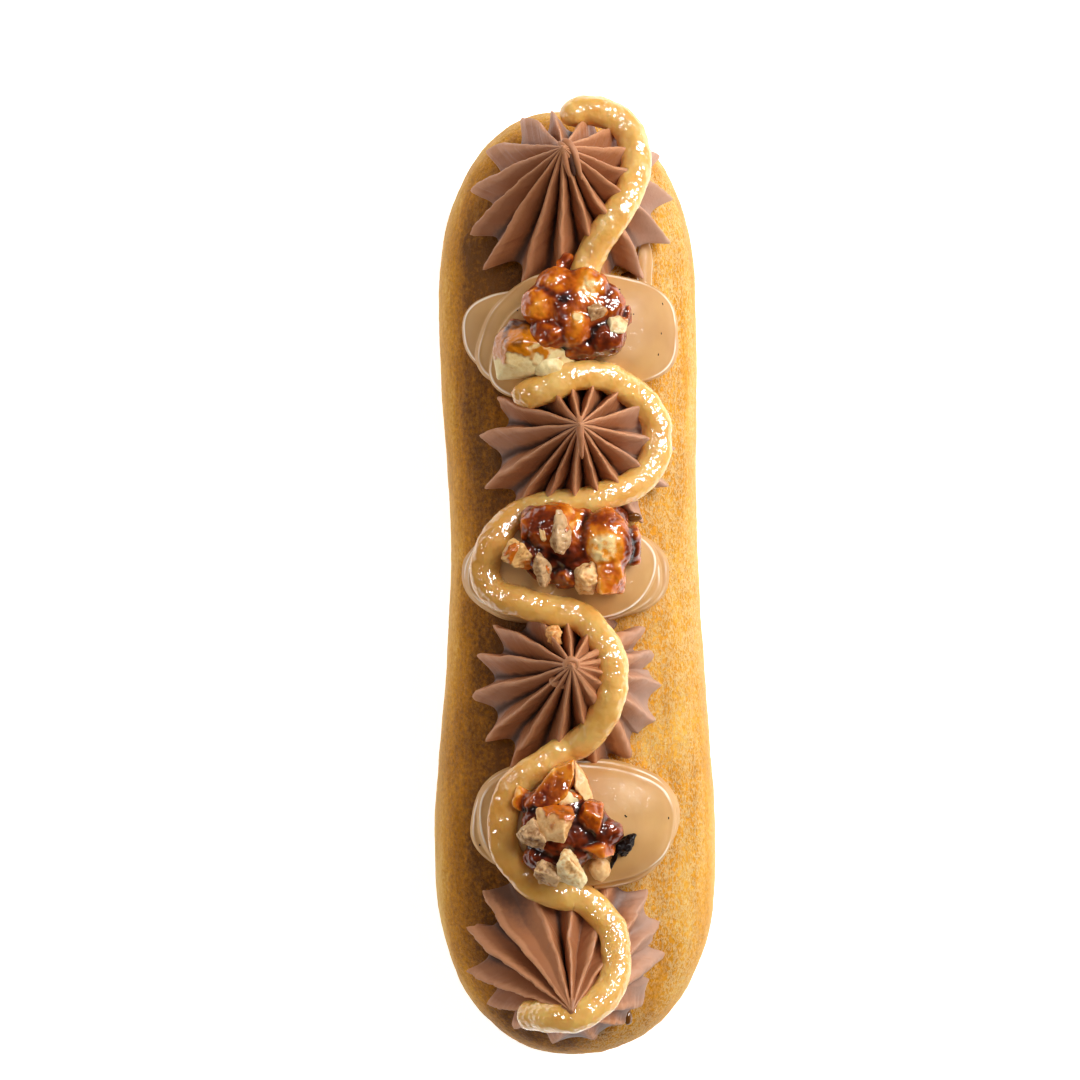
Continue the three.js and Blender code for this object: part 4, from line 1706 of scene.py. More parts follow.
@dataclass
class CaramelLine:
    """The piped caramel line that wanders over the creams."""

    radius: float = 2.15
    seat: float = 0.8
    lowest: float = 29.0
    highest: float = 37.0
    full: float = 0.84
    flat: float = 0.5
    flat_y: float = -34.0
    flat_half: float = 8.0
    step: float = 0.5
    bend_steps: int = 24
    reach: float = 1.1
    ease: int = 7

    def path(self, bends: Sequence[Point]) -> np.ndarray:
        """Rounds plan bends into an even path.

        Args:
            bends: Plan bends.

        Returns:
            Rows of x, y.
        """
        bend = np.array(bends, dtype=float)
        ends = np.vstack([2.0 * bend[0] - bend[1], bend, 2.0 * bend[-1] - bend[-2]])
        share = np.linspace(0.0, 1.0, self.bend_steps, endpoint=False)[:, None]
        out: list[np.ndarray] = []
        for one, two, three, four in zip(ends[:-3], ends[1:-2], ends[2:-1], ends[3:]):
            square = (2.0 * one - 5.0 * two + 4.0 * three - four) * share**2
            cube = (3.0 * two - one - 3.0 * three + four) * share**3
            out.append(0.5 * (2.0 * two + (three - one) * share + square + cube))
        dense = np.vstack(out + [bend[-1:]])
        gone = np.concatenate([[0.0], np.cumsum(np.linalg.norm(np.diff(dense, axis=0), axis=1))])
        even = np.linspace(0.0, gone[-1], max(3, int(gone[-1] / self.step)))
        return np.stack([np.interp(even, gone, dense[:, axis]) for axis in (0, 1)], axis=1)

    def rest(self, path: np.ndarray, landing: Landing) -> np.ndarray:
        """Finds the height at which the line rests along a path.

        Args:
            path: Rows of x, y.
            landing: Creams under the line.

        Returns:
            Heights of the line's middle.
        """
        ahead = unit(np.gradient(path, axis=0))
        side = np.stack([-ahead[:, 1], ahead[:, 0]], axis=1)
        heights = []
        for spot, across in zip(path, side):
            tries = [spot + across * offset * self.reach for offset in (-1.0, 0.0, 1.0)]
            found = [landing.height(float(t[0]), float(t[1]), self.lowest) for t in tries]
            heights.append(min(self.highest, 0.6 * max(found) + 0.4 * float(np.mean(found))))
        level = np.array(heights)
        for _ in range(self.ease):
            padded = np.pad(level, 2, mode="edge")
            level = np.mean([padded[k : k + len(level)] for k in range(5)], axis=0)
        return level + self.seat

    def build(self, tree: PipedTree, runs: Sequence[Run], landing: Landing) -> bpy.types.Object:
        """Pipes the line over the creams.

        Args:
            tree: Tree that sweeps the line.
            runs: Unbroken runs of the line.
            landing: Creams under the line.

        Returns:
            The caramel piece.
        """
        points: list[np.ndarray] = []
        edges: list[tuple[int, int]] = []
        girth: list[np.ndarray] = []
        count = 0
        for run in runs:
            path = self.path(run.bends)
            z = self.rest(path, landing)
            points.append(np.column_stack([path, z]))
            edges += [(count + k, count + k + 1) for k in range(len(path) - 1)]
            gone = np.arange(len(path)) * self.step
            left = gone[-1] - gone
            blunt = np.minimum(gone, left) / self.radius
            girth.append(np.sqrt(np.clip(1.0 - (1.0 - np.clip(blunt, 0.02, 1.0)) ** 2, 0.0, 1.0)))
            count += len(path)
        mesh = bpy.data.meshes.new("caramel_path")
        mesh.from_pydata((np.vstack(points) * MM).tolist(), edges, [])
        write_share(mesh, "girth", np.concatenate(girth))
        write_share(mesh, "squash", self.squash(np.vstack(points)))
        made = tree.grow("caramel_line", mesh, {"Radius": self.radius, "Finish": CARAMEL.material()})
        turn_outward(made)
        return as_piece("caramel_line", made, [CARAMEL])

    def squash(self, points: np.ndarray) -> np.ndarray:
        """How flat the line lies, flattest where it crosses the lowest dollop.

        Args:
            points: Rows of x, y, z along the line.

        Returns:
            Height as a share of the width.
        """
        near = (points[:, 1] - self.flat_y) / self.flat_half
        return self.full - (self.full - self.flat) * np.exp(-(near**4)) * (points[:, 0] < 0.0)

    def dress(self, piece: bpy.types.Object, nodes: Sequence[str]) -> None:
        """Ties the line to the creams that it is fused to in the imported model."""
        settle(piece, None, *nodes)


# The nuts


class Form(Enum):
    """How a bit of the topping is shaped."""

    LUMP = "smooth and rounded"
    CHUNK = "flat broken faces"


@dataclass(frozen=True)
class Bit:
    """One bit of nut: its place, half sizes, lift over what it lies on, and turn."""

    x: float
    y: float
    size: Spot
    lift: float
    turn: float
    seed: int
    tone: float = 0.5
    finish: Finish = BARE
    form: Form = Form.CHUNK
    corners: int = 14
    square: float = 0.6
    given: Sequence[Spot] = ()
    polish: int = 2
    upright: bool = False
    grain: float = 0.1
    soak: float = 0.4
    soak_from: Spot = (0.0, 0.0, -1.0)


@dataclass(frozen=True)
class Stain:
    """A soft patch where the cooked caramel is lighter or darker, seen in plan."""

    x: float
    y: float
    size: Point
    tone: float
    turn: float = 0.0


@dataclass
class NutCluster:
    """Broken nuts held in cooked caramel."""

    node: str
    lumps: Sequence[Bit]
    bits: Sequence[Bit]
    stains: Sequence[Stain] = ()
    packed: bool = True
    melt: int = 7
    voxel: float = 0.2
    bit_voxel: float = 0.7
    around: int = 32
    lifts: int = 16
    lowest: float = 24.0
    probe: float = 0.7
    calm: float = 1.4

    def lump(self, bit: Bit) -> Skin:
        """Works out a smooth uneven lump about its own middle.

        Args:
            bit: The bit to shape.

        Returns:
            Points and faces.
        """
        angle, lift = round_angles(self.around)[None, :], lift_angles(self.lifts)[:, None]
        round_x, round_y = np.cos(lift) * np.cos(angle), np.cos(lift) * np.sin(angle)
        rings = np.stack(np.broadcast_arrays(round_x, round_y, np.sin(lift)), axis=-1)
        points, faces = loft(np.array(DOWN), rings, np.array(UP))
        uneven = 1.0 + 0.16 * soft_noise(points, 1.1, float(bit.seed), 2)
        return points * uneven[:, None] * np.array(bit.size), faces

    def chunk(self, bit: Bit) -> Skin:
        """Works out a rough chunk with flat broken faces about its own middle.

        Args:
            bit: The bit to shape.

        Returns:
            Points and faces.
        """
        chance = np.random.default_rng(bit.seed)
        spots = unit(chance.normal(size=(bit.corners, 3)))
        spots /= np.abs(spots).max(axis=1)[:, None] ** bit.square
        spots *= 1.0 + chance.uniform(-0.1, 0.1, size=(bit.corners, 1))
        low, high = spots.min(axis=0), spots.max(axis=0)
        spots = (2.0 * (spots - low) / (high - low) - 1.0) * np.array(bit.size)
        work = bmesh.new()
        for spot in bit.given or spots:
            work.verts.new(spot)
        made = bmesh.ops.convex_hull(work, input=work.verts[:])
        inside = [vert for vert in made["geom_interior"] if isinstance(vert, bmesh.types.BMVert)]
        bmesh.ops.delete(work, geom=inside, context="VERTS")
        work.verts.index_update()
        points = np.array([vert.co for vert in work.verts])
        faces = [tuple(vert.index for vert in face.verts) for face in work.faces]
        work.free()
        return points, faces

    def shape(self, bit: Bit, centre: Vector, up: Vector) -> Skin:
        """Shapes a bit, turns it and puts it in place.

        Args:
            bit: The bit to shape.
            centre: Its middle.
            up: Which way its flat side faces.

        Returns:
            Points and faces.
        """
        points, faces = self.lump(bit) if bit.form is Form.LUMP else self.chunk(bit)
        spin = Matrix.Rotation(math.radians(bit.turn), 3, "Z")
        tilt = UP.rotation_difference(up).to_matrix()
        return points @ np.array(tilt @ spin).T + np.array(centre), faces

    def coat(self, landing: Landing) -> bpy.types.Object:
        """Melts the caramel lumps into one glossy mass.

        Args:
            landing: Creams under the cluster.

        Returns:
            The caramel piece.
        """
        middles: list[Vector] = []
        skins: list[Skin] = []
        for bit in self.lumps:
            z = landing.height(bit.x, bit.y, self.lowest) + bit.lift
            middles.append(Vector((bit.x, bit.y, z)))
            skins.append(self.shape(bit, middles[-1], UP))
        mesh = fused(self.node, new_mesh(self.node, *join_skins(skins)), self.voxel, self.melt)
        points = points_of(mesh)
        swell = 0.14 * soft_noise(points, 1.3, 4.0, 2)
        move_points(mesh, points + normals_of(mesh) * swell[:, None])
        write_share(mesh, "hump", crease_share(mesh, spread=12, depth=0.2))
        nearness = []
        for bit, middle in zip(self.lumps, middles):
            away = (points - np.array(middle)) / np.array(bit.size)
            nearness.append(1.0 / (np.einsum("ij,ij->i", away, away) ** 3 + 0.01))
        weights = np.array(nearness)
        tones = np.array([bit.tone for bit in self.lumps]) @ weights / weights.sum(axis=0)
        for stain in self.stains:
            turn = math.radians(stain.turn)
            x, y = points[:, 0] - stain.x, points[:, 1] - stain.y
            along = (x * math.cos(turn) + y * math.sin(turn)) / stain.size[0]
            across = (y * math.cos(turn) - x * math.sin(turn)) / stain.size[1]
            tones += (stain.tone - tones) * np.exp(-((along**2 + across**2) ** 1.5))
        write_share(mesh, "tone", tones)
        return as_piece(f"{self.node}_caramel", mesh, [AMBER])

    def broken(self, landing: Landing) -> Optional[bpy.types.Object]:
        """Sets bare bits and skins into the caramel.

        Args:
            landing: Caramel and creams under the bits.

        Returns:
            The nut piece, or nothing if there are no bare bits.
        """
        if not self.bits:
            return None
        finishes: list[Finish] = []
        meshes: list[bpy.types.Mesh] = []
        for bit in self.bits:
            if bit.finish not in finishes:
                finishes.append(bit.finish)
            z, up = self.under(bit, landing)
            centre = Vector((bit.x, bit.y, z)) + up * bit.lift
            points, faces = self.shape(bit, centre, up)
            mesh = new_mesh(self.node, points, faces)
            mesh = fused(self.node, mesh, self.voxel * self.bit_voxel, bit.polish)
            points = points_of(mesh)
            grain = bit.grain * soft_noise(points, 0.9, float(bit.seed), 3)
            move_points(mesh, points + normals_of(mesh) * grain[:, None])
            write_share(mesh, "hump", crease_share(mesh, spread=5, depth=0.12))
            reach = (points - np.array(centre)) @ np.array(Vector(bit.soak_from).normalized())
            low, high = float(reach.min()), float(reach.max())
            ragged = 0.3 * soft_noise(points, 1.4, bit.seed + 0.5, 2)
            write_share(mesh, "soak", smooth((reach - low) / (high - low) - 1.0 + bit.soak + ragged + 0.3))
            mesh.polygons.foreach_set("material_index", [finishes.index(bit.finish)] * len(mesh.polygons))
            meshes.append(mesh)
        return as_piece(f"{self.node}_nuts", join_meshes(self.node, meshes), finishes)

    def under(self, bit: Bit, landing: Landing) -> tuple[float, Vector]:
        """Finds the ground under a bit.

        Args:
            bit: The bit to place.
            landing: Caramel and creams under it.

        Returns:
            Height of the ground and the way it faces.
        """
        x, y, step, low = bit.x, bit.y, self.probe, self.lowest
        z = landing.height(x, y, low)
        if bit.upright:
            return z, UP
        slope_x = landing.height(x + step, y, low) - landing.height(x - step, y, low)
        slope_y = landing.height(x, y + step, low) - landing.height(x, y - step, low)
        return z, Vector((-slope_x, -slope_y, 2.0 * step * self.calm)).normalized()

    def build(self, landing: Landing) -> list[bpy.types.Object]:
        """Builds the caramel, then the bare bits on it.

        Args:
            landing: Creams under the cluster.

        Returns:
            The cluster's pieces.
        """
        ground = Landing(list(landing.trees))
        pieces = []
        if self.lumps:
            pieces.append(self.coat(landing))
            ground.add(pieces[0])
        nuts = self.broken(ground)
        return pieces + ([nuts] if nuts is not None else [])

    def dress(self, pieces: Sequence[bpy.types.Object]) -> None:
        """Ties the cluster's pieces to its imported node."""
        nodes = (self.node,) if self.packed else ()
        for piece in pieces:
            settle(piece, Slot.NUT, *nodes)


# Specks


class SpeckTree(ShapeTree):
    """Scatters tiny seeds over the upward sides of a skin."""

    def __init__(self) -> None:
        """Wires the tree."""
        super().__init__("vanilla_scatter", {"Density": 0.03, "Size": 0.16, "Seed": 4.0})
        facing = self.parts(self.add("GeometryNodeInputNormal").outputs[0])[2]
        upward = self.add("FunctionNodeCompare", data_type="FLOAT", operation="GREATER_THAN")
        self.feed(upward.inputs[0], facing)
        upward.inputs[1].default_value = 0.55
        spread = self.add("GeometryNodeDistributePointsOnFaces", distribute_method="RANDOM")
        self.feed(spread.inputs["Mesh"], self.source.outputs["Geometry"])
        self.feed(spread.inputs["Selection"], upward.outputs[0])
        self.feed(spread.inputs["Density"], self.given("Density") / (MM * MM))
        self.feed(spread.inputs["Seed"], self.given("Seed"))
        seed = self.add("GeometryNodeMeshIcoSphere")
        self.feed(seed.inputs["Radius"], self.given("Size") * MM)
        seed.inputs["Subdivisions"].default_value = 2
        vary = self.add("FunctionNodeRandomValue", data_type="FLOAT_VECTOR")
        vary.inputs["Min"].default_value = (0.6, 0.6, 0.4)
        vary.inputs["Max"].default_value = (1.5, 1.2, 0.7)
        self.feed(vary.inputs["Seed"], self.given("Seed"))
        put = self.add("GeometryNodeInstanceOnPoints")
        self.feed(put.inputs["Points"], spread.outputs["Points"])
        self.feed(put.inputs["Instance"], seed.outputs["Mesh"])
        self.feed(put.inputs["Rotation"], spread.outputs["Rotation"])
        self.feed(put.inputs["Scale"], vary.outputs[0])
        self.close(put.outputs[0])


@dataclass
class VanillaSpecks:
    """Dark vanilla seeds in the pale cream."""

    density: float = 0.014
    size: float = 0.14
    seed: float = 4.0

    def build(self, creams: Sequence[bpy.types.Object]) -> bpy.types.Object:
        """Scatters the seeds.

        Args:
            creams: Pale cream pieces.

        Returns:
            The seeds as one piece.
        """
        mesh = join_meshes("speck_ground", [cream.data for cream in creams])
        values = {"Density": self.density, "Size": self.size, "Seed": self.seed, "Finish": SPECK.material()}
        made = SpeckTree().grow("vanilla_specks", mesh, values)
        return as_piece("vanilla_specks", made, [SPECK])

    def dress(self, piece: bpy.types.Object) -> None:
        """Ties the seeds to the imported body."""
        settle(piece, None)


# The studio


@dataclass
class Studio:
    """Camera straight overhead, pale floor and soft light from the right."""

    eye: Spot = (-5.2, 6.39, 360.0)
    lens: float = 77.6
    floor_half: float = 6000.0
    key: float = 3.6
    bounce: float = 0.52
    sky: float = 0.23

    def light(self, name: str, place: Spot, size: float, power: float, role: Role) -> None:
        """Hangs a square soft light that faces the eclair.

        Args:
            name: Name of the light.
            place: Where it hangs, in millimetres.
            size: Width of the light in millimetres.
            power: Power in watts.
            role: Whether it lights surfaces or shows in their gloss.
        """
        lamp = bpy.data.lights.new(name, "AREA")
        lamp.energy = power
        lamp.size = size * MM
        hung = bpy.data.objects.new(name, lamp)
        hung.location = Vector(place) * MM
        hung.rotation_euler = (-Vector(place)).to_track_quat("-Z", "Y").to_euler()
        hung.visible_diffuse = role is not Role.GLINT
        hung.visible_glossy = role is not Role.FILL
        bpy.context.collection.objects.link(hung)

    def build(self) -> None:
        """Sets the camera, floor, lights and tone."""
        camera = bpy.data.cameras.new("camera")
        camera.lens = self.lens
        camera.sensor_width = 36.0
        camera.clip_start = 0.01
        camera.dof.use_dof = False
        seen = bpy.data.objects.new("camera", camera)
        seen.location = Vector(self.eye) * MM
        bpy.context.collection.objects.link(seen)
        bpy.context.scene.camera = seen
        corners = np.array([[-1.0, -1.0, 0.0], [1.0, -1.0, 0.0], [1.0, 1.0, 0.0], [-1.0, 1.0, 0.0]])
        mesh = bpy.data.meshes.new("floor")
        mesh.from_pydata((corners * self.floor_half * MM).tolist(), [], [(0, 1, 2, 3)])
        floor = as_piece("floor", mesh, [FloorFinish()])
        self.light("key_light", (350.0, 230.0, 410.0), 400.0, self.key, Role.FILL)
        self.light("key_glint", (340.0, 223.0, 398.0), 215.0, self.key * 1.8, Role.GLINT)
        self.light("high_glint", (60.0, 260.0, 520.0), 60.0, self.key * 0.25, Role.GLINT)
        self.light("far_glint", (-300.0, 120.0, 460.0), 60.0, self.key * 0.15, Role.GLINT)
        self.light("bounce_light", (-480.0, 40.0, 80.0), 420.0, self.bounce, Role.FILL)
        world = bpy.data.worlds.new("soft_sky")
        world.use_nodes = True
        sky = world.node_tree.nodes["Background"]
        sky.inputs["Color"].default_value = (1.0, 0.95, 0.88, 1.0)
        sky.inputs["Strength"].default_value = self.sky
        world.cycles_visibility.glossy = False
        bpy.context.scene.world = world
        bpy.context.scene.view_settings.view_transform = "Standard"


# Shapes and places of the creams, caramel and nuts

RIGHT_RIM = Strand(
    (
        (-0.1, 1.1, -1.6, 0.55), (0.8, 0.7, -1.2, 0.55), (1.6, -0.5, -1.3, 0.5), (2.0, -2.0, -2.0, 0.45),
        (2.6, -4.0, -3.9, 0.3),
    )
)
LEFT_RIM = Strand(
    (
        (-0.5, 0.9, -1.8, 0.5), (0.1, 0.1, -0.9, 0.5), (0.25, -1.2, -1.2, 0.42), (0.6, -2.6, -2.0, 0.35),
        (1.0, -3.8, -3.3, 0.25),
    )
)
# The slit strand takes the darkest valley colour, a painted shade.
SLIT = Strand(
    (
        (0.5, 0.4, -1.5, 0.3), (0.9, -0.5, -1.5, 0.45), (1.15, -1.6, -1.9, 0.48), (1.45, -2.7, -2.55, 0.4),
        (1.6, -3.6, -3.2, 0.2),
    ),
    0.06,
)
TAIL = Strand(
    (
        (0.0, 1.2, -2.0, 0.5), (0.0, 0.0, -0.9, 0.6), (0.1, -1.6, -0.9, 0.5), (0.2, -3.2, -2.0, 0.38),
        (0.4, -4.6, -3.6, 0.22),
    )
)
CURL = Strand(
    (
        (-0.6, -0.9, -1.8, 0.55), (-0.8, 0.2, -1.2, 0.5), (-0.1, 0.8, -0.9, 0.5), (0.7, 0.5, -0.9, 0.42),
        (0.8, -0.2, -1.1, 0.4), (0.2, -0.4, -0.9, 0.35),
    ),
    0.9,
)
KNOB = Strand(
    (
        (-2.9, -2.2, -4.6, 0.5), (-2.2, -2.5, -4.0, 0.75), (-1.2, -2.9, -4.0, 0.6), (-0.3, -2.7, -4.2, 0.6),
        (0.5, -2.6, -4.6, 0.4),
    ),
    0.95,
    -0.05,
)
POINT = Strand(
    ((0.0, 1.6, -1.8, 0.7), (0.0, 0.2, -0.8, 0.6), (-0.1, -1.2, -0.7, 0.4), (-0.1, -2.4, -1.4, 0.2))
)

ROSETTES = (
    Rosette(
        1, -0.5, 54.6, 14.6, (-1.6, 5.4), 3.0, 3.0, (RIGHT_RIM, LEFT_RIM, SLIT),
        (
            Fin(0.9), Fin(3.1), Fin(2.8, 0.95), Fin(2.3, 0.89), Fin(1.0, 0.95), Fin(-3.2),
            Fin(0.2, 1.01, 0.5), Fin(0.2, 1.02, 0.6), Fin(-0.1, 1.06), Fin(-1.9, 1.1), Fin(-4.1),
            Fin(-2.0), Fin(-1.0), Fin(-1.2, 1.02, 0.5), Fin(0.7, 1.04),
        ),
    ),
    Rosette(
        2, 0.2, 19.0, 13.9, (0.0, 3.1), 2.0, 7.0, (TAIL,),
        (
            Fin(0.0, 1.01), Fin(5.4), Fin(0.2), Fin(-0.6), Fin(0.0), Fin(-3.0), Fin(2.4), Fin(2.0, 1.03),
            Fin(7.0, 1.03), Fin(4.9), Fin(-1.7), Fin(-1.2), Fin(-2.6), Fin(-1.8), Fin(0.5, 1.01),
        ),
    ),
    Rosette(
        3, -1.3, -15.1, 13.9, (0.4, 4.5), 18.0, 11.0, (CURL, KNOB),
        (
            Fin(3.7, 0.97, 2.2, 0.6), Fin(-3.5, 1.02, 2.6, 0.4), Fin(0.0), Fin(0.0), Fin(0.0), Fin(0.3, 1.02),
            Fin(-2.5), Fin(-1.8, 0.99), Fin(1.6), Fin(-1.1), Fin(2.5), Fin(4.7, 1.0, 0.0, 0.4),
            Fin(9.0, 0.95, 1.6, 0.6), Fin(11.2, 0.96, 0.3, 0.5), Fin(7.2, 0.97, 0.3, 0.6),
        ),
        waist=0.5,
    ),
    Rosette(
        4, -1.6, -53.2, 14.0, (0.8, -5.3), 20.0, 19.0, (POINT,),
        (
            Fin(1.3, 1.04, 0.4, 0.55), Fin(-4.3, 1.1, 0.4, 0.5), Fin(-6.0, 1.0, 0.4, 0.4), Fin(-3.2),
            Fin(-6.0, 1.0, 0.0, 0.75), Fin(2.7, 1.08, 0.6), Fin(0.1, 1.04, 0.4), Fin(1.3, 1.01),
            Fin(-1.2, 0.94, 0.0, 0.1), Fin(-2.0, 0.92, 0.3, 0.4), Fin(2.0, 0.9, 0.3, 0.75),
            Fin(6.0, 0.9, 0.3, 0.75), Fin(2.0, 0.92, 0.3, 0.75), Fin(-3.0, 0.93, 0.3, 0.7),
            Fin(5.0, 1.02, 2.0, 0.6),
        ),
        12.0, 1.9, 0.32, 0.66,
    ),
)

DOLLOPS = (
    Dollop(
        1,
        (
            Fold(-16.5, 3.0, 35.9, 6.3, 28.6, 2.8),
            Fold(-13.8, 14.6, 35.9, 8.3, 30.6, 3.8, 0.36, 2.8),
            Fold(-12.0, 2.0, 32.9, 7.4, 32.9, 2.6, 0.2),
            Fold(8.8, 11.0, 45.0, 5.2, 26.4, 1.3),
        ),
        0.4,
    ),
    Dollop(
        2,
        (
            Fold(-16.6, 13.3, 1.7, 7.4, 28.4, 2.4),
            Fold(-15.8, 12.3, 1.9, 7.5, 29.9, 2.6),
            Fold(-15.0, 11.6, 2.2, 7.2, 31.4, 3.0),
            Fold(-14.0, -2.0, 2.8, 5.8, 33.0, 2.4),
        ),
        2.2,
    ),
    Dollop(
        3,
        (
            Fold(-15.0, 8.0, -33.6, 8.6, 28.4, 2.6),
            Fold(-14.2, 14.7, -33.8, 9.3, 29.9, 3.0),
            Fold(-12.6, 14.0, -33.7, 8.8, 31.6, 3.6),
        ),
        4.1,
    ),
)

CARAMEL_RUNS = (
    Run(
        (
            (-1.8, 65.5), (-0.6, 66.6), (1.6, 67.4), (4.9, 66.5), (7.4, 64.3), (8.2, 61.3), (8.3, 58.4),
            (7.4, 55.4), (6.1, 52.9), (4.1, 49.9), (2.6, 47.6), (1.6, 45.4), (1.0, 43.4), (0.8, 41.8),
        )
    ),
    Run(
        (
            (-8.5, 25.5), (-7.4, 26.5), (-4.9, 27.3), (-2.0, 28.5), (-0.6, 29.2), (3.3, 29.4), (6.1, 28.2),
            (9.2, 26.1), (11.1, 23.3), (11.3, 20.5), (11.1, 18.4), (9.8, 15.9), (7.5, 13.9), (4.7, 12.9),
            (0.8, 11.6), (-4.9, 11.0), (-9.3, 9.1), (-11.8, 6.0), (-12.8, 3.3), (-12.8, 1.0), (-11.2, -1.2),
            (-7.7, -2.4), (-3.5, -3.4), (0.1, -4.2), (1.9, -5.6), (3.7, -7.9), (4.8, -10.4), (4.9, -13.0),
            (4.6, -15.4), (3.7, -17.8), (2.2, -20.2), (0.4, -22.0), (-2.7, -23.7), (-4.9, -25.3),
            (-7.7, -27.1), (-9.4, -29.1), (-10.4, -32.5), (-10.4, -35.3), (-9.7, -37.8), (-7.7, -40.4),
            (-5.6, -42.3), (-2.0, -43.7), (-0.3, -43.6), (2.0, -45.0), (3.8, -46.8), (5.0, -48.5),
            (5.4, -50.6), (5.5, -52.3), (5.2, -54.5), (4.2, -56.5), (2.3, -58.3), (-0.3, -59.7),
            (-2.7, -59.8), (-6.3, -60.2), (-8.4, -60.0),
        )
    ),
)

CARAMEL_NODES = tuple(f"chocolate_rosette_{n}" for n in (1, 2, 3, 4)) + ("cream_dollop_2", "cream_dollop_3")

LUMP = Form.LUMP
GLAZED_TOP = (-0.15, 1.0, 0.25)
SPLIT_HALF = (
    (-4.9, 0.4, -0.3), (-4.2, -3.8, -0.8), (-4.5, 2.2, 0.2), (-2.2, 4.7, 0.0), (0.2, 4.7, 0.2),
    (-2.6, 0.9, 3.3), (-0.6, 1.5, 3.4), (-2.9, -1.6, 2.1), (0.6, -3.0, 0.6), (6.0, -1.5, -0.4),
    (7.3, -0.6, -0.8), (3.6, 3.0, -0.1), (3.0, 0.8, 2.6), (1.6, -1.4, 1.9), (-4.7, 0.0, -2.6),
    (-3.9, -3.6, -2.6), (1.0, -3.2, -2.6), (6.2, -1.3, -2.6), (3.6, 2.6, -2.6), (-3.8, 3.5, -2.6),
)
SHARD = (
    (-3.8, -2.6, 0.4), (-0.4, 2.0, 0.8), (2.8, 3.6, 1.4), (2.6, 1.0, 2.4), (1.6, -1.6, 2.8),
    (-1.0, -3.8, 1.6), (-3.6, -2.8, -2.4), (-0.2, 2.0, -2.4), (2.9, 3.4, -2.0), (2.8, 0.0, -2.4),
    (-1.0, -4.0, -2.4),
)
SHARD_SIDE = (
    (-0.9, 3.0, 0.6), (0.8, 0.2, 1.0), (1.8, -2.8, 0.0), (0.6, -2.6, 1.2), (-0.9, -0.6, 1.8),
    (-0.8, 2.8, -1.8), (1.0, 0.4, -1.8), (1.9, -2.8, -1.8), (-0.4, -2.6, -1.8), (-0.9, 0.0, -1.8),
)

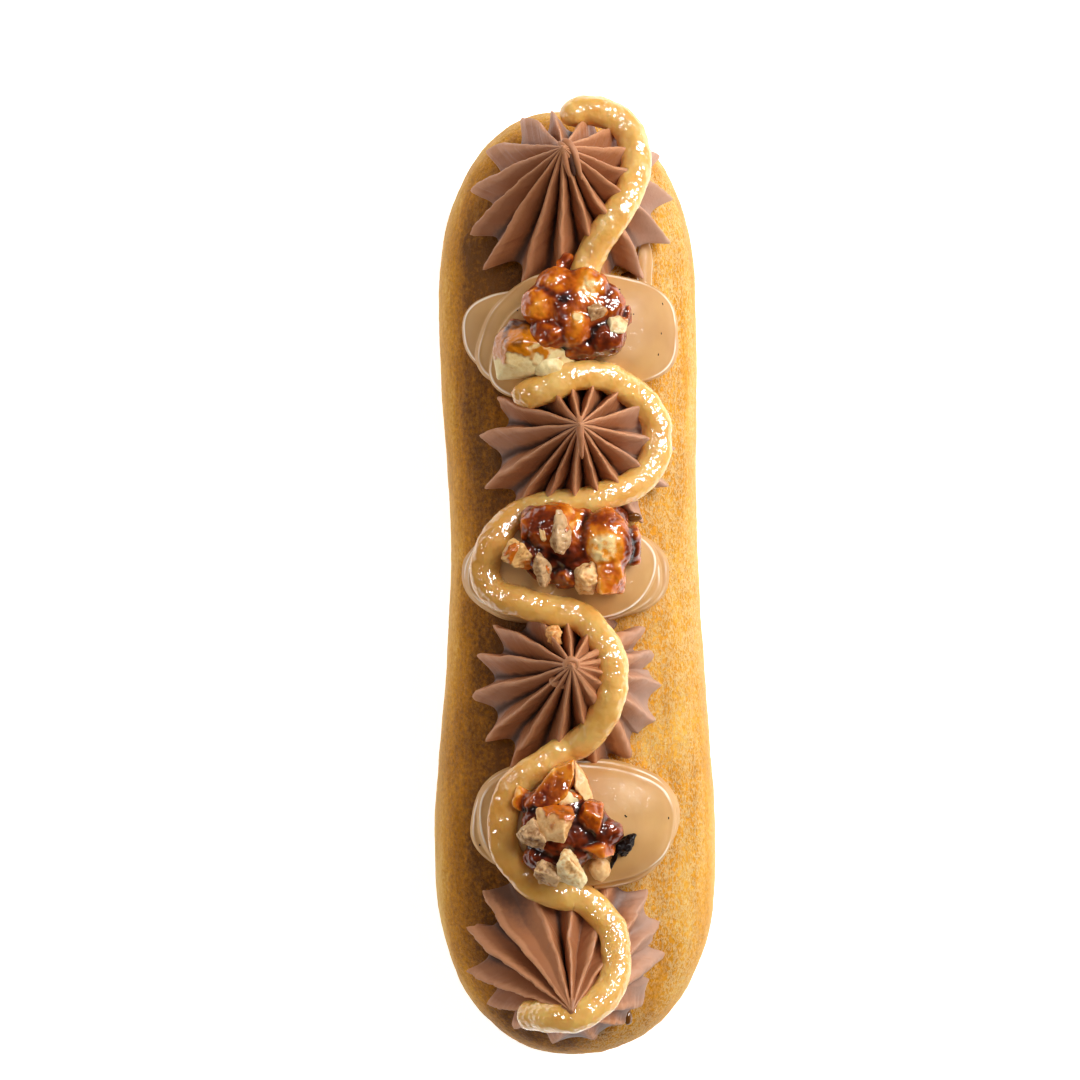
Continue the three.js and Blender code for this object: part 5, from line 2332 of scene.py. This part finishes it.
CLUSTERS = (
    NutCluster(
        "nut_cluster_1",
        (
            Bit(-0.6, 38.3, (6.4, 5.8, 4.0), 1.2, 0, 30, 0.26, form=LUMP),
            Bit(-2.7, 41.9, (3.2, 2.4, 2.6), 2.6, 10, 31, 0.42, form=LUMP),
            Bit(1.5, 41.4, (3.0, 3.0, 2.6), 2.7, 40, 32, 0.44, form=LUMP),
            Bit(4.2, 39.1, (2.4, 3.4, 2.6), 1.9, 0, 33, 0.28, form=LUMP),
            Bit(-4.9, 38.8, (2.8, 3.2, 2.6), 2.3, 20, 34, 0.44, form=LUMP),
            Bit(-0.4, 36.2, (2.8, 3.2, 2.6), 2.6, 10, 35, 0.46, form=LUMP),
            Bit(3.8, 34.4, (3.0, 2.6, 2.6), 1.9, 5, 36, 0.16, form=LUMP),
            Bit(-4.2, 34.8, (2.8, 2.3, 2.4), 1.6, 0, 37, 0.22, form=LUMP),
            Bit(0.4, 32.9, (3.4, 1.6, 2.2), 1.2, 0, 38, 0.22),
            Bit(6.6, 37.6, (1.3, 1.8, 1.4), 0.8, 0, 29, 0.2),
            Bit(-1.6, 45.0, (1.6, 1.9, 1.8), 0.8, 0, 39, 0.14),
        ),
        (
            Bit(2.9, 38.1, (1.7, 1.2, 0.6), 0.05, 20, 51, finish=SKIN, soak=0.2),
            Bit(5.3, 36.1, (1.6, 1.6, 0.6), 0.2, 70, 52, soak=0.2),
        ),
        (
            Stain(-5.0, 38.6, (1.6, 2.0), 0.58, 20.0),
            Stain(-2.9, 42.0, (2.0, 1.2), 0.54),
            Stain(-0.4, 36.2, (1.7, 2.1), 0.52),
            Stain(0.0, 37.2, (0.9, 0.7), 0.98),
            Stain(1.5, 41.4, (1.6, 2.1), 0.82, 20.0),
            Stain(-1.9, 39.7, (0.9, 0.7), -0.1),
            Stain(-2.3, 37.4, (0.5, 2.0), 0.1, 15.0),
            Stain(-4.1, 40.7, (1.7, 0.45), 0.12, -30.0),
            Stain(3.8, 34.6, (2.4, 1.8), 0.08),
            Stain(5.4, 38.6, (1.0, 2.4), 0.26),
        ),
        melt=16,
    ),
    NutCluster(
        "nut_piece",
        (
            Bit(-7.4, 36.0, (2.6, 1.2, 1.4), 0.3, -14, 41, 0.16, form=LUMP),
            Bit(-3.6, 34.6, (2.4, 1.1, 1.4), 0.3, -30, 42, 0.1, form=LUMP),
        ),
        (
            Bit(
                -7.0, 32.4, (5.0, 3.6, 2.8), 1.0, 0, 53, finish=SPLIT, given=SPLIT_HALF, polish=40,
                upright=True, grain=0.05, soak=0.55, soak_from=GLAZED_TOP,
            ),
            Bit(
                -4.3, 30.7, (2.6, 1.7, 1.8), 0.6, -6, 56, finish=SPLIT, form=LUMP, upright=True,
                grain=0.08, soak=0.0,
            ),
        ),
    ),
    NutCluster(
        "nut_cluster_2",
        (
            Bit(0.4, 5.4, (7.2, 4.6, 3.0), 1.0, 0, 40, 0.12, form=LUMP),
            Bit(-3.3, 8.0, (4.5, 3.8, 3.6), 2.0, 0, 60, 0.36, form=LUMP),
            Bit(-0.6, 9.0, (2.6, 3.0, 3.2), 2.6, 0, 43, 0.58, corners=18),
            Bit(-5.9, 8.2, (2.2, 3.2, 3.2), 2.0, 0, 44, 0.2, corners=18),
            Bit(-4.6, 4.6, (4.4, 2.4, 2.2), 0.8, 0, 45, 0.1, form=LUMP),
            Bit(4.1, 6.2, (4.0, 4.7, 3.6), 2.2, 0, 48, 0.5, form=LUMP),
            Bit(4.8, 9.5, (2.6, 2.2, 3.2), 2.4, 0, 46, 0.2, corners=18),
            Bit(7.4, 5.6, (1.6, 3.0, 2.8), 1.8, 0, 49, 0.16, corners=18),
            Bit(4.3, 1.8, (2.6, 3.0, 2.8), 2.0, 0, 61, 0.44, corners=18),
            Bit(-1.7, 1.4, (1.9, 2.0, 2.2), 1.2, 0, 62, 0.24, corners=18),
            Bit(-2.4, 2.6, (5.2, 2.6, 1.6), 0.4, 0, 63, 0.08, form=LUMP),
        ),
        (
            Bit(
                -2.2, 7.5, (1.4, 3.1, 1.0), 0.1, -8, 54, finish=SKIN, corners=20, square=0.95,
                grain=0.2, soak=0.2,
            ),
            Bit(-4.9, 7.1, (0.6, 1.1, 0.4), 0.0, 0, 55, finish=TOASTED, corners=6, soak=0.2),
            Bit(
                1.2, 1.4, (1.8, 2.6, 2.1), 0.4, 0, 57, finish=TOASTED, corners=20, square=0.9,
                grain=0.2, soak=0.2,
            ),
            Bit(-4.8, 2.7, (1.2, 2.7, 1.4), 0.2, 15, 58, finish=SKIN, square=0.9, grain=0.2, soak=0.3),
            Bit(-8.0, 4.3, (2.4, 1.8, 1.7), 0.1, -30, 59, finish=SEARED, grain=0.15, soak=0.6),
        ),
        (
            Stain(-5.0, 8.6, (2.2, 2.6), 0.16),
            Stain(-0.4, 9.0, (1.6, 2.4), 0.62),
            Stain(-3.6, 6.0, (1.4, 1.0), 0.46),
            Stain(1.1, 7.8, (0.6, 3.0), 0.06),
            Stain(3.6, 9.2, (2.2, 1.4), 0.2),
            Stain(2.2, 5.6, (0.9, 2.4), 0.6),
            Stain(4.6, 6.8, (2.4, 1.4), 0.52),
            Stain(3.8, 5.0, (2.4, 2.6), 0.86),
            Stain(7.4, 5.4, (1.0, 2.6), 0.1),
            Stain(4.2, 1.4, (1.8, 1.8), 0.46),
            Stain(-1.6, 3.6, (2.4, 1.2), 0.08),
        ),
    ),
    NutCluster(
        "nut_cluster_3",
        (
            Bit(-3.2, -27.4, (2.8, 3.1, 2.4), 2.8, 0, 71, 0.42, given=SHARD),
            Bit(-7.8, -29.6, (1.4, 2.1, 1.8), 0.8, 0, 70, 0.64),
            Bit(-5.2, -30.2, (2.6, 1.8, 2.0), 1.0, 0, 77, 0.14, form=LUMP),
            Bit(2.0, -32.0, (2.0, 2.4, 2.6), 1.8, 0, 72, 0.38, corners=12),
            Bit(-1.6, -33.6, (6.2, 5.4, 3.0), 0.8, 0, 73, 0.12, form=LUMP),
            Bit(3.0, -36.4, (2.3, 1.6, 2.2), 1.6, 0, 74, 0.44, corners=14),
            Bit(4.0, -34.1, (2.6, 1.8, 2.0), 1.4, 0, 76, 0.1, form=LUMP),
            Bit(-3.0, -38.0, (4.4, 3.0, 2.2), 0.6, 0, 75, 0.12, form=LUMP),
        ),
        (
            Bit(
                -2.9, -32.9, (3.0, 2.8, 2.6), 0.8, 12, 81, finish=TOASTED, corners=12, soak=0.3,
                soak_from=(0.2, 1.0, 0.2),
            ),
            Bit(-6.0, -34.5, (2.1, 2.4, 2.0), 0.4, 30, 82, finish=SKIN, corners=14, grain=0.25, soak=0.25),
            Bit(-1.4, -38.6, (2.0, 2.9, 2.4), 0.7, 18, 83, corners=12, grain=0.18, soak=0.25),
            Bit(-4.0, -39.3, (1.9, 2.0, 1.8), 0.3, 10, 87, finish=SKIN, corners=14, grain=0.25, soak=0.3),
            Bit(3.2, -39.4, (1.5, 1.9, 1.3), 0.4, 10, 84, finish=TOASTED, form=LUMP, soak=0.25),
            Bit(-1.5, -28.9, (2.0, 1.1, 1.3), 0.4, 0, 85, soak=0.3),
            Bit(
                0.5, -27.2, (1.0, 2.8, 1.6), 2.4, 0, 88, finish=TOASTED, given=SHARD_SIDE, upright=True,
                soak=0.2,
            ),
            Bit(6.1, -35.5, (1.4, 2.0, 1.5), 0.7, -20, 86, finish=BURNT, corners=10, grain=0.3),
            Bit(5.0, -38.4, (0.4, 1.6, 0.5), 0.5, -12, 89, finish=BURNT, corners=10),
        ),
        (
            Stain(-2.0, -25.6, (1.5, 1.5), 0.56),
            Stain(-4.9, -28.9, (1.4, 1.2), 0.24),
            Stain(2.2, -34.4, (1.8, 1.0), 0.08),
        ),
    ),
    NutCluster(
        "golden_crumb",
        (),
        (
            Bit(
                -3.2, -7.0, (1.1, 1.5, 1.2), 1.2, 20, 91, finish=CRUMB, corners=20, upright=True,
                grain=0.4, soak=0.0,
            ),
        ),
        packed=False,
    ),
    NutCluster(
        "syrup_drips",
        (),
        (
            Bit(8.2, 9.7, (1.1, 1.0, 0.6), 0.1, 0, 92, finish=SYRUP, form=LUMP),
            Bit(7.4, -62.4, (0.8, 1.3, 0.6), 0.1, 10, 93, finish=SYRUP, form=LUMP),
            Bit(7.7, 43.9, (1.5, 1.2, 0.8), 0.1, 0, 94, finish=SYRUP, form=LUMP),
        ),
        packed=False,
    ),
)


def main() -> None:
    """Builds every piece in order."""
    logging.basicConfig(level=logging.INFO, format="%(name)s: %(message)s")
    Studio().build()
    shell = ChouxShell()
    crust = shell.build()
    shell.dress(crust)
    landing = Landing()
    landing.add(crust)
    tree = RosetteTree()
    for rosette in ROSETTES:
        piece = rosette.build(tree, shell)
        rosette.dress(piece)
        landing.add(piece)
    creams = []
    for dollop in DOLLOPS:
        piece = dollop.build(shell)
        dollop.dress(piece)
        landing.add(piece)
        creams.append(piece)
    specks = VanillaSpecks()
    specks.dress(specks.build(creams))
    line = CaramelLine()
    line.dress(line.build(PipedTree(), CARAMEL_RUNS, landing), CARAMEL_NODES)
    for cluster in CLUSTERS:
        cluster.dress(cluster.build(landing))


if __name__ == "__main__":
    main()
